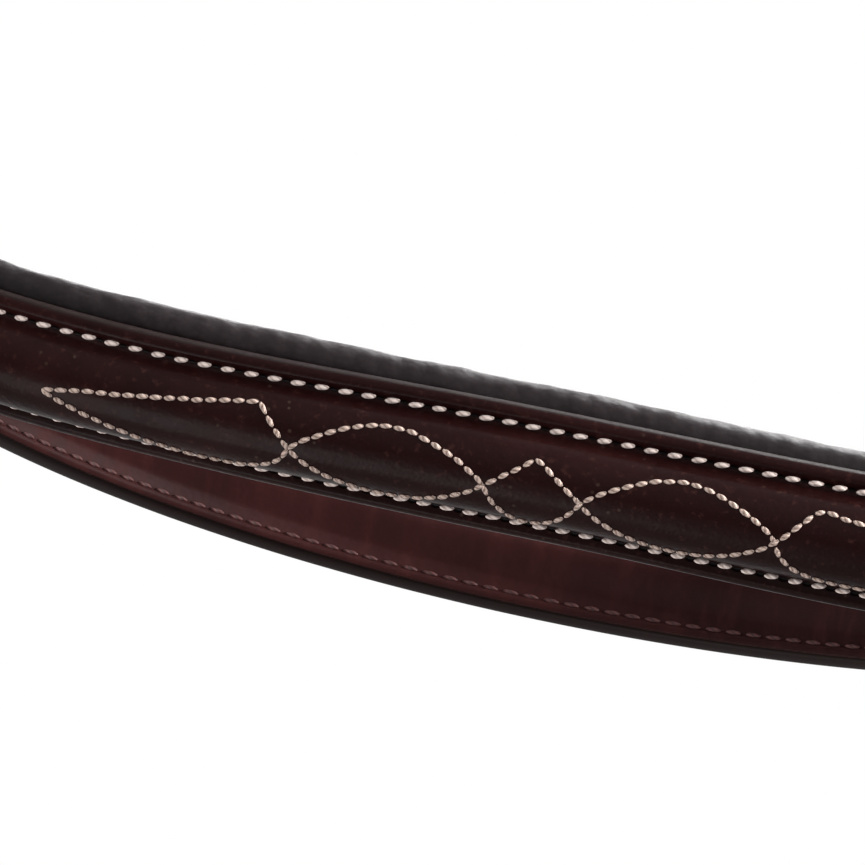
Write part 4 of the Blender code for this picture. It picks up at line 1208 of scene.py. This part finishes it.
def thread_rows(name, rows):
    """Short rows of stitches: each row has a start, an end and the outward direction."""
    shape = bmesh.new()
    for start, end, out in rows:
        count = max(int((end - start).length / row_pitch), 1)
        half = (end - start).normalized() * row_half_stitch
        for number in range(count):
            middle = start.lerp(end, (number + 0.5) / count)
            add_stitch(shape, middle - half, middle + half, out, row_width, row_height)
    piece = finished(name, shape, [brown_thread], "bridle", corner=80)
    return piece


print("straps can be cut from stations")

# %% [markdown]
# ## The side lines
#
# The billets, the noseband's strap and the throatlatch all leave the crown at the temples. The
# same few numbers place each buckle, so the two sides are mirror images.

# %% Seats of the buckles and rings
cheek_width, throat_width, nose_strap_width, ring_strap_width = 15, 12, 13, 10
split_drop, cheek_drop, bit_half_span = 24, 305, 72
cheek_billet, throat_billet, hanger_body = 54, 60, 56
long_fold, short_fold = 26, 20
temple_x = crown_half_span + headpiece_lift
hanger_x = crown_half_span + hanger_lift
cheek_top = Vector((temple_x, (cheek_width - crown_width) / 2, -split_drop))
cheek_bottom = Vector((bit_half_span, cheek_top.y, -cheek_drop))
cheek_way = (cheek_bottom - cheek_top).normalized()
cheek_seat = Seat(cheek_top + cheek_way * cheek_billet, cheek_way, X)
cheek_length = (cheek_bottom - cheek_seat.heel).length

throat_back, throat_inward = radians(38), radians(7)
throat_top = Vector((temple_x, (crown_width - throat_width) / 2, -split_drop))
throat_way = Vector((-sin(throat_inward), sin(throat_back), -cos(throat_back))).normalized()
throat_seat = Seat(throat_top + throat_way * throat_billet, throat_way, X)

ring_centre, ring_radius, ring_wire = Vector((88, 28, -165)), 17, 1.8
ring_wrap = ring_wire + gap + fold_leather / 2 + 0.25
hanger_top = Vector((hanger_x, 0, -split_drop))
hanger_way = (ring_centre - hanger_top).normalized()
ring_seat = Seat(ring_centre, hanger_way, X)
hanger_eye = ring_seat.at(-ring_radius)
hanger_seat = Seat(hanger_eye - hanger_way * hanger_body, hanger_way, X)
ring_forward = ring_seat.w if ring_seat.w.y < 0 else -ring_seat.w
print("the cheekpiece is", round(cheek_length), "mm from its buckle to the bit")


# %% Left and right, bars and rings
def side_of(stations, side):
    """Stations as they are for the left, or flipped for the right."""
    if side > 0:
        return stations
    return [(flipped(point), flipped(across), thick, wide) for point, across, thick, wide in stations]


def seat_of(seat, side):
    return seat if side > 0 else Seat(flipped(seat.heel), flipped(seat.s), flipped(seat.n))


def bar_fold(seat, back, width):
    """The end that wraps a buckle's heel bar."""
    return Fold((seat.heel, seat.s, seat.n, seat.w), back, width)


def ring_fold(eye, along, out, across, back):
    """The narrowed end that wraps a noseband ring."""
    return Fold((eye, along, out, across), back, nose_strap_width, ring_wrap, ring_strap_width)


both_sides = ((1, "left"), (-1, "right"))
print("each side is drawn once")

# %% The headpiece
short_lead, billet_tail, billet_centre = -25, 46, Vector((0, 0, -80))
left = [Vector((temple_x, 0, -13)), Vector((temple_x, 0, -6))]
points = left + [crown_point(turn, headpiece_lift) for turn in crown_turns]
points += [flipped(point) for point in reversed(left)]
ways = [crown_across(turn) for turn in [0, 0] + crown_turns + [0, 0]]
shapes = [cut_strap(plain(points, ways, crown_width), head_centre)]
for side, _ in both_sides:
    for top, seat, width in ((cheek_top, cheek_seat, cheek_width), (throat_top, throat_seat, throat_width)):
        start = [Vector((top.x, top.y * 0.98, -9)), top + Z * 8, top + (seat.heel - top) * 0.12]
        stations = plain(start, [Y, Y, seat.w], width) + billet_end(seat, short_lead, billet_tail, width)
        holes = tongue_holes(seat_of(seat, side), -1, 2)
        shapes.append(cut_strap(side_of(stations, side), billet_centre, ("end",), holes))
headpiece = strap_piece("headpiece_strap", "headpiece", *shapes)
print("the headpiece has", len(headpiece.data.polygons), "faces")

# %% The noseband's long strap
short_tail = 37
lowered, right_top = Z * split_drop * 0.75, flipped(hanger_top)
points = [hanger_top, hanger_top + lowered]
points += [crown_point(turn, hanger_lift) for turn in crown_turns]
points += [right_top + lowered, right_top]
points += [right_top.lerp(flipped(hanger_eye), share) for share in (0.3, 0.6)]
ways = [crown_across(turn) for turn in [0, 0] + crown_turns + [0]] + [flipped(hanger_seat.w)] * 3
stations = turned_back(billet_end(hanger_seat, short_lead, short_tail, nose_strap_width))
stations += plain(points, ways, nose_strap_width, hanger_thickness)
hanger_fold = ring_fold(hanger_eye, -hanger_way, ring_seat.n, hanger_seat.w, short_fold).mirror()
stations += turned_back(hanger_fold.stations())
shape = cut_strap(stations, head_centre, ("start",), tongue_holes(hanger_seat, -2, 1))
strap_piece("noseband_long_strap", "noseband_hanger", shape)
print("the noseband's strap is done")

# %% Cheekpieces
bit_loop_length, bit_loop_bulge, stud_plate = 24, 4.5, 1.0
stud_place, bit_return = 20, 46
turn_start = cheek_length - bit_loop_length
return_level = -(leather_thickness + 2 * gap + stud_plate)
bulge = bit_loop_bulge - return_level / 2
loop_shares = ((0.25, 0.68), (0.5, 0.96), (0.76, 0.86), (0.94, 0.42))
front = [(turn_start + bit_loop_length * a, return_level / 2 + bulge * b) for a, b in loop_shares]
route = [(place, 0) for place in (cheek_length * 0.3, cheek_length * 0.6, turn_start - 8, turn_start)]
route += front + [(s, return_level - n) for s, n in reversed(front)]
route += [(turn_start - bit_return * share, return_level) for share in (0, 0.3, 0.65, 1)]
keeper_places = (("lower", turn_start - keeper_tall), ("upper", turn_start - 2 * stud_place + keeper_tall))
for side, word in both_sides:
    seat = seat_of(cheek_seat, side)
    stations = bar_fold(seat, long_fold, cheek_width).stations()
    stations += plain([seat.at(s, 0, n) for s, n in route], seat.w, cheek_width)
    shape = cut_strap(stations, seat.at(cheek_length / 2, 0, -60), ("end",), slots=[tongue_slot(seat)])
    strap_piece(f"cheekpiece_{word}_strap", f"cheekpiece_{word}", shape)
    for label, place in keeper_places:
        leather_loop(f"bit_keeper_{label}_{word}", seat, place, cheek_width / 2 + keeper_play,
                     return_level - leather_thickness / 2 - keeper_play, leather_thickness / 2 + keeper_play,
                     keeper_tall, keeper_leather)
    buckle(f"cheek_{word}", seat, cheek_width)
print("the bit's loop is", bit_loop_length, "mm long")

# %% [markdown]
# ## Hook studs
#
# A hook stud closes the bit's loop. Its flat plate lies between the two layers, its neck goes
# through the inner one and its head leans towards the tail, so that the leather can't slip
# off. It is turned metal, so one profile is spun round the neck.


# %% Turned parts
def spun(profile, steps=48):
    """Spins a profile of radii and levels into a closed body."""
    shape = bmesh.new()
    verts = [shape.verts.new((radius, 0, level)) for radius, level in profile]
    edges = [shape.edges.new(pair) for pair in zip(verts, verts[1:])]
    bmesh.ops.spin(shape, geom=verts + edges, cent=(0, 0, 0), axis=(0, 0, 1), angle=2 * pi, steps=steps,
                   use_merge=True)
    bmesh.ops.remove_doubles(shape, verts=shape.verts, dist=0.005)
    return shape


head_lean = 1.5
plate = -leather_thickness / 2 - gap - stud_plate
neck = return_level - leather_thickness / 2 - gap
stud_profile = [(0, plate + 1), (3.1, plate + 1), (3.3, plate + 0.8), (3.3, plate + 0.2), (3.1, plate),
                (1.6, plate), (1.5, plate - 0.2), (1.5, neck), (2.75, neck), (3.0, neck - 0.15),
                (2.95, neck - 0.4), (2.5, neck - 0.8), (1.5, neck - 1.05), (0, neck - 1.15)]
for side, word in both_sides:
    seat = seat_of(cheek_seat, side)
    shape = spun(stud_profile)
    for vert in shape.verts:
        along, across, level = vert.co
        lean = -head_lean if level < neck + 0.1 else 0
        vert.co = world(seat.at(turn_start - stud_place + along + lean, across, level))
    finished(f"hook_stud_{word}_metal", shape, [polished_steel], "bridle", [f"hook_stud_{word}"])
print("the stud's head stands", round(-neck, 1), "mm behind the cheekpiece's middle")

# %% [markdown]
# ## The throatlatch
#
# One strap hangs free under the throat. Its two ends wrap their buckles, and between them it
# follows a smooth sweep: a curve that leaves each buckle along its strap and passes level
# under the jaw.


# %% Sweeps and the throatlatch
sweep_pull, throat_drop, throat_centre = 1.17, 160, Vector((0, 20, -60))


def sweep(start, way, end, steps):
    """Points of a curve that leaves along a way and ends level, without the first point."""
    pull = (end - start).length * sweep_pull
    found = []
    for number in range(1, steps + 1):
        share = number / steps
        keep = 2 * share**3 - 3 * share**2 + 1
        leave, arrive = share**3 - 2 * share**2 + share, share**3 - share**2
        found.append(start * keep + end * (1 - keep) + way * pull * leave - X * pull * arrive)
    return found


straight = runner_place + 3 * keeper_tall
fall = (throat_drop - split_drop) / cos(throat_back)
lowest = throat_top + Vector((0, sin(throat_back), -cos(throat_back))) * fall
lowest.x = 0
side_end = throat_seat.at(straight)
stations = bar_fold(throat_seat, long_fold, throat_width).stations()
stations += plain([side_end] + sweep(side_end, throat_seat.s, lowest, 7), throat_seat.w, throat_width)
stations += turned_back(side_of(stations[:-1], -1))
throat_seats = [seat_of(throat_seat, side) for side, _ in both_sides]
shape = cut_strap(stations, throat_centre, slots=[tongue_slot(seat) for seat in throat_seats])
strap_piece("throatlatch_strap", "throatlatch", shape)
rows = sum((bar_fold(seat, long_fold, throat_width).rows() for seat in throat_seats), [])
thread_rows("throatlatch_stitches", rows)
for seat, (side, word) in zip(throat_seats, both_sides):
    buckle(f"throat_{word}", seat, throat_width)
    rows = bar_fold(seat_of(cheek_seat, side), long_fold, cheek_width).rows()
    thread_rows(f"cheekpiece_{word}_stitches", rows)
print("the throatlatch hangs", round(-lowest.z), "mm under the temples")

# %% [markdown]
# ## The rings and the straps on them
#
# A figure eight's two rings rest under the cheekbones, and three straps meet on each: from the
# crown, from the nose and from the jaw. The strap's end narrows where it wraps the wire, so
# that it can turn on the ring.

# %% The two rings
ring_stations = 24
for side, word in both_sides:
    seat, name = seat_of(ring_seat, side), f"noseband_ring_{word}"
    turns = [2 * pi * number / ring_stations for number in range(ring_stations)]
    stations = [seat.at(ring_radius * cos(turn), ring_radius * sin(turn)) for turn in turns]
    path = Route(stations, [seat.n] * ring_stations, seat.heel, closed=True, steps=4)
    tube(name + "_wire", path, ring_wire, name, name, 20)
print("the rings are", 2 * ring_radius, "mm across")

# %% The short strap over the left ring
seat = hanger_seat
bar = bar_fold(seat, short_fold, nose_strap_width)
ring = ring_fold(hanger_eye, -hanger_way, ring_seat.n, seat.w, 18)
shape = cut_strap(bar.stations() + turned_back(ring.stations()), head_centre, slots=[tongue_slot(seat)])
strap_piece("noseband_short_strap", "noseband_hanger_point", shape)
thread_rows("noseband_short_strap_stitches", bar.rows() + ring.rows())
thread_rows("noseband_long_strap_stitches", hanger_fold.rows())
buckle("noseband", seat, nose_strap_width)
print("the short strap is", hanger_body, "mm from its buckle to the ring")

# %% [markdown]
# ## The figure eight
#
# Two straps start at the rings, wind down over the nose, cross on its bridge and meet in one
# buckle at the chin groove. Their line is a helix round an oval that narrows downwards. The
# outer strap is lifted by one thickness where the two cross.

# %% The line round the nose
nose_half_width, nose_depth, nose_forward, nose_drop = 68, 57, 20, 252
nose_taper, helix_turn, helix_fall, chin_fall = 0.24, radians(75), 51, 42


def nose_point(turn, lift=0.0):
    """A turn of 0 is the bridge of the nose, and pi is the chin groove."""
    round_turn = min(abs(turn), 2 * pi - abs(turn))
    if turn > -helix_turn:
        fall = -helix_fall * turn / helix_turn
    else:
        fall = helix_fall + chin_fall * sin((round_turn - helix_turn) / (pi - helix_turn) * pi / 2)
    half = nose_half_width - nose_taper * fall + lift
    return Vector((half * sin(turn), -nose_forward - (nose_depth + lift) * cos(turn), -nose_drop - fall))


def nose_across(turn):
    small = radians(1)
    along = (nose_point(turn - small) - nose_point(turn + small)).normalized()
    return along.cross(Vector((sin(turn), -cos(turn), 0))).normalized()


chin_heel = nose_point(radians(-230))
chin_way = nose_point(radians(-172)) - chin_heel
chin_seat = Seat(chin_heel, chin_way, Vector((chin_heel.x, chin_heel.y, 0)))
print("the chin buckle lies at", [round(v) for v in chin_heel])

# %% The two crossing straps
cross_leave = radians(30)
cross_way = ring_forward * cos(cross_leave) + ring_seat.s * sin(cross_leave)
nose_centre = Vector((0, -12, -250))
turns = [radians(a) for a in (75, 62, 48, 34, 25, 17, 8, 0, -8, -17, -25, -34, -48, -62, -75, -88)]
across = ring_seat.n.cross(cross_way).normalized()
ring = ring_fold(ring_centre + cross_way * ring_radius, cross_way, ring_seat.n, across, short_fold)

inner_turns = turns + [radians(a) for a in (-103, -120, -138, -156)]
stations = ring.stations() + plain([nose_point(turn) for turn in inner_turns],
                                   [nose_across(turn) for turn in inner_turns], nose_strap_width)
stations += plain([chin_seat.at(48), chin_seat.at(39)], chin_seat.w, nose_strap_width)
bar = bar_fold(chin_seat, long_fold, nose_strap_width)
shape = cut_strap(stations + turned_back(bar.stations()), nose_centre, slots=[tongue_slot(chin_seat)])
strap_piece("cross_strap_inner_leather", "cross_strap_inner", shape)

lift_from, lift_over = radians(33), radians(16)
outer_points = [flipped(nose_point(turn, over_body * clamped((lift_from - abs(turn)) / lift_over)))
                for turn in turns]
stations = ring.mirror().stations()
stations += plain(outer_points, [flipped(nose_across(turn)) for turn in turns], nose_strap_width)
stations += billet_end(chin_seat, -1.5 * frame_length, short_tail, nose_strap_width)
shape = cut_strap(stations, nose_centre, ("end",), tongue_holes(chin_seat, -1, 1))
strap_piece("cross_strap_outer_leather", "cross_strap_outer", shape)

thread_rows("cross_strap_inner_stitches", ring.rows() + bar.rows())
thread_rows("cross_strap_outer_stitches", ring.mirror().rows())
buckle("chin", chin_seat, nose_strap_width)
print("the straps cross", round(-nose_point(0).z), "mm under the temples")

# %% [markdown]
# ## The jaw strap
#
# The upper loop of the eight closes behind the jaw. A short strap holds its buckle on the
# left, and a long one sweeps round from the right ring.

# %% The jaw's two straps
jowl_body, jowl_inward, jowl_fall = 50, 0.5, 0.42
apex, jaw_centre = Vector((0, 124, -192)), Vector((0, 40, -170))
jowl_eye = ring_centre - ring_forward * ring_radius
jowl_run = (-ring_forward - X * jowl_inward - Z * jowl_fall).normalized()
seat = Seat(jowl_eye + jowl_run * jowl_body, -jowl_run, X)
ring = ring_fold(jowl_eye, jowl_run, seat.n, seat.w, 16)
bar = bar_fold(seat, short_fold, nose_strap_width)
shape = cut_strap(ring.stations() + turned_back(bar.stations()), jaw_centre, slots=[tongue_slot(seat)])
strap_piece("jaw_short_strap", "jowl_point", shape)

side_end = seat.at(-2 * frame_length)
half_points = sweep(side_end, -seat.s, apex, 6)
run = [flipped(point) for point in [seat.at(jowl_body * 0.4), side_end] + half_points[:-1]]
run += turned_back(half_points)
ways = [flipped(seat.w).lerp(seat.w, clamped((point.x / side_end.x + 1) / 2)) for point in run]
stations = ring.mirror().stations() + plain(run, ways, nose_strap_width)
stations += billet_end(seat, -3 * frame_length, short_tail, nose_strap_width)
shape = cut_strap(stations, jaw_centre, ("end",), tongue_holes(seat, -2, 1))
strap_piece("jaw_long_strap", "jowl_strap", shape)

thread_rows("jaw_short_strap_stitches", ring.rows() + bar.rows())
thread_rows("jaw_long_strap_stitches", ring.mirror().rows())
buckle("jowl", seat, nose_strap_width)
print("the jaw strap passes", round(apex.y), "mm behind the temples")

# %% [markdown]
# ## The nose pad
#
# The straps cross on a pad that spreads their pull. A soft cushion lies on the nose, a leather
# disc carries it, and a smaller disc in front holds the crossing. Two rivets join the discs.
# Each disc is spun flat, its rivet holes are punched, and then it is bent to the nose.


# %% Discs on the nose
def nose_place(up, side, out):
    turn = asin(side / nose_half_width)
    return Vector(((nose_half_width + out) * sin(turn),
                   -nose_forward - (nose_depth + out) * cos(turn), up - nose_drop))


def onto_nose(shape):
    for vert in shape.verts:
        vert.co = world(nose_place(*vert.co))


def disc_profile(radius, level, thickness):
    """A flat disc with a rolled rim and a creased line, as radii and levels."""
    half = thickness / 2
    top = [(radius * share, half) for share in (0, 0.15, 0.3, 0.45, 0.6, 0.72)]
    rim = ((4.2, 0), (crease_inset, 0.2), (2.6, 0), (1.1, 0), (0.5, 0.15), (0.12, 0.5), (0, 0.95))
    top += [(radius - inset, half - drop) for inset, drop in rim]
    return [(r, level + z) for r, z in top + [(r, -z) for r, z in reversed(top)]]


pad_radius, pad_leather, pad_filling, pad_play = 29, 2.5, 10, 1.2
keeper_radius, rivet_radius, rivet_place = 19, 1.8, 14.5
crease_inset, disc_pitch, stitch_half_share, disc_thread, disc_bite = 3.4, 3.0, 0.36, 0.8, 0.1
behind = -(leather_thickness / 2 + pad_play + pad_leather / 2)
before = leather_thickness * 1.5 + gap + pad_play / 2 + pad_leather / 2
rivet_hole = 2 * (rivet_radius + gap)
rivet_holes = [(place, rivet_hole, rivet_hole) for place in (-rivet_place, rivet_place)]
discs = (("nose_pad_disc", pad_radius, behind), ("nose_pad_keeper", keeper_radius, before))
for node, radius, level in discs:
    shape = punched(spun(disc_profile(radius, level, pad_leather), 72), rivet_holes)
    three_sides(shape)
    onto_nose(shape)
    finished(node + "_leather", shape, strap_finishes, "nose_pad", [node])
    shape = bmesh.new()
    row, top = radius - crease_inset, level + pad_leather / 2 - disc_bite
    count = round(2 * pi * row / disc_pitch)
    for number in range(count):
        ends = []
        for share in (-stitch_half_share, stitch_half_share):
            turn = 2 * pi * (number + share) / count
            ends.append(nose_place(row * cos(turn), row * sin(turn), top))
        add_stitch(shape, *ends, -Y, disc_thread, disc_thread)
    stitches = finished(node + "_stitches", shape, [cream_thread], "nose_pad", corner=80)
print("the discs are", round(before - behind - pad_leather, 1), "mm apart")

# %% The cushion
cushion_radius, bulge, puckers = pad_radius * 0.96, 2.3, 44
front_level = behind - pad_leather / 2 - gap
shares = [sin(pi / 2 * number / 18) for number in range(19)]
profile = [(share, bulge * (1 - (1 - share**6) ** 0.5)) for share in shares]
profile += [(share, bulge + (pad_filling - bulge) * (1 - share**2.6) ** 0.5)
            for share in reversed(shares[:-1])]
shape = spun([(cushion_radius * share, front_level - depth) for share, depth in profile], 96)
for vert in shape.verts:
    up, side, out = vert.co
    wrinkle = ripple(up / 7, side / 7, out / 5) * 0.35
    rim = max(hypot(up, side) / cushion_radius - 0.75, 0) * 4
    vert.co.z += wrinkle * min(1, (front_level - out) / 3) + 0.14 * rim * cos(atan2(side, up) * puckers)
onto_nose(shape)
cushion = finished("nose_pad_soft_cushion", shape, [soft_leather], "nose_pad", ["nose_pad_cushion"], 80)
print("the cushion is", pad_filling, "mm thick")

# %% The rivets
top = before + pad_leather / 2 + gap
low = behind - pad_leather / 2 + gap
head = ((0, 0.95), (1.0, 0.9), (1.9, 0.7), (2.7, 0.4), (3.1, 0.12), (3.15, 0), (rivet_radius, 0))
rivet_profile = [(radius, top + rise) for radius, rise in head] + [(rivet_radius, low), (0, low)]
for place, word in ((rivet_place, "top"), (-rivet_place, "bottom")):
    shape = spun(rivet_profile)
    bmesh.ops.translate(shape, vec=(place, 0, 0), verts=shape.verts)
    onto_nose(shape)
    finished(f"nose_pad_rivet_{word}_metal", shape, [polished_steel], "nose_pad", [f"nose_pad_rivet_{word}"])
print("the rivets are", round(top - low, 1), "mm long")

# %% [markdown]
# ## What the model keeps
#
# The cord inside the swell is closed in by the leather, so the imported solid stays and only
# gets its finish.

# %% The filling of the swell
core_finish = bpy.data.objects["browband_core"].data.materials
core_finish.clear()
core_finish.append(filling)
print("the core keeps its solid")

# %% [markdown]
# ## Light, floor and ground
#
# Glossy dark leather is drawn by what it mirrors, so the lamps are large and soft. One hangs in
# front and above, for the long gleam on the swell. One lies low, for the roll's edge. The
# white ground is seen by the camera, by mirrors and through glass only, and lights nothing.


# %% Lights
def soft_lamp(name, place, target, size, power):
    lamp = bpy.data.lights.new(name, "AREA")
    lamp.shape, lamp.size, lamp.energy = "DISK", size, power
    made = bpy.data.objects.new(name, lamp)
    made.location = place
    made.rotation_euler = (Vector(target) - Vector(place)).to_track_quat("-Z", "Y").to_euler()
    bpy.context.scene.collection.objects.link(made)


brow = world(band_pivot + band_forward * band_reach)
low_place = upward * 0.6 + sight * 0.45 + right * 0.4
soft_lamp("front_lamp", brow + Vector((0.45, -1.3, 0.55)), brow, 0.9, 10)
soft_lamp("low_lamp", brow + low_place, brow, 0.5, 14)
soft_lamp("right_low_lamp", brow + Vector((-1.0, 0.2, -0.32)), brow + Y * 0.08, 0.4, 38)
soft_lamp("left_lamp", (1.5, -0.3, 0.3), -Z * 0.2, 0.9, 13)
soft_lamp("right_lamp", (-1.5, 0.4, 0.4), -Z * 0.2, 0.9, 7)
soft_lamp("back_lamp", (0.2, 1.6, 0.5), -Z * 0.2, 1.0, 12)
print("six soft lamps")

# %% The white ground
ground_world = bpy.data.worlds.new("white_ground")
bpy.context.scene.world = ground_world
ground_world.use_nodes = True
tree = ground_world.node_tree
tree.nodes.clear()
camera_ray, glass_ray, mirror_ray = [add_node(tree, "LightPath", {}, output=f"Is {ray} Ray")
                                     for ray in ("Camera", "Transmission", "Glossy")]
fill_light = add_node(tree, "Background", {"Color": colour(0.93, 0.95, 1.0), "Strength": 0.35})
ground = add_node(tree, "Background", {"Color": colour(1, 1, 1), "Strength": 1.0})
seen = (camera_ray + glass_ray + mirror_ray).clamp()
choice = add_node(tree, "MixShader", {0: seen, 1: fill_light, 2: ground})
put(tree, tree.nodes.new("ShaderNodeOutputWorld").inputs["Surface"], choice)
print("the ground is white")

# %% The floor
floor_level = -0.80
shape = bmesh.new()
bmesh.ops.create_circle(shape, cap_ends=True, segments=64, radius=4.0,
                        matrix=Matrix.Translation((0, 0, floor_level)))
mesh = bpy.data.meshes.new("floor")
shape.to_mesh(mesh)
shape.free()
floor = bpy.data.objects.new("floor", mesh)
paint = Finish("pale_floor")
pale = paint.mix(paint.noise(3.0), colour(0.80, 0.80, 0.80), colour(0.84, 0.84, 0.84))
paint.set(Base_Color=pale, Roughness=0.7)
mesh.materials.append(paint.material)
bpy.context.scene.collection.objects.link(floor)

# %% Colour management and the end
bpy.context.scene.view_settings.view_transform = "Standard"
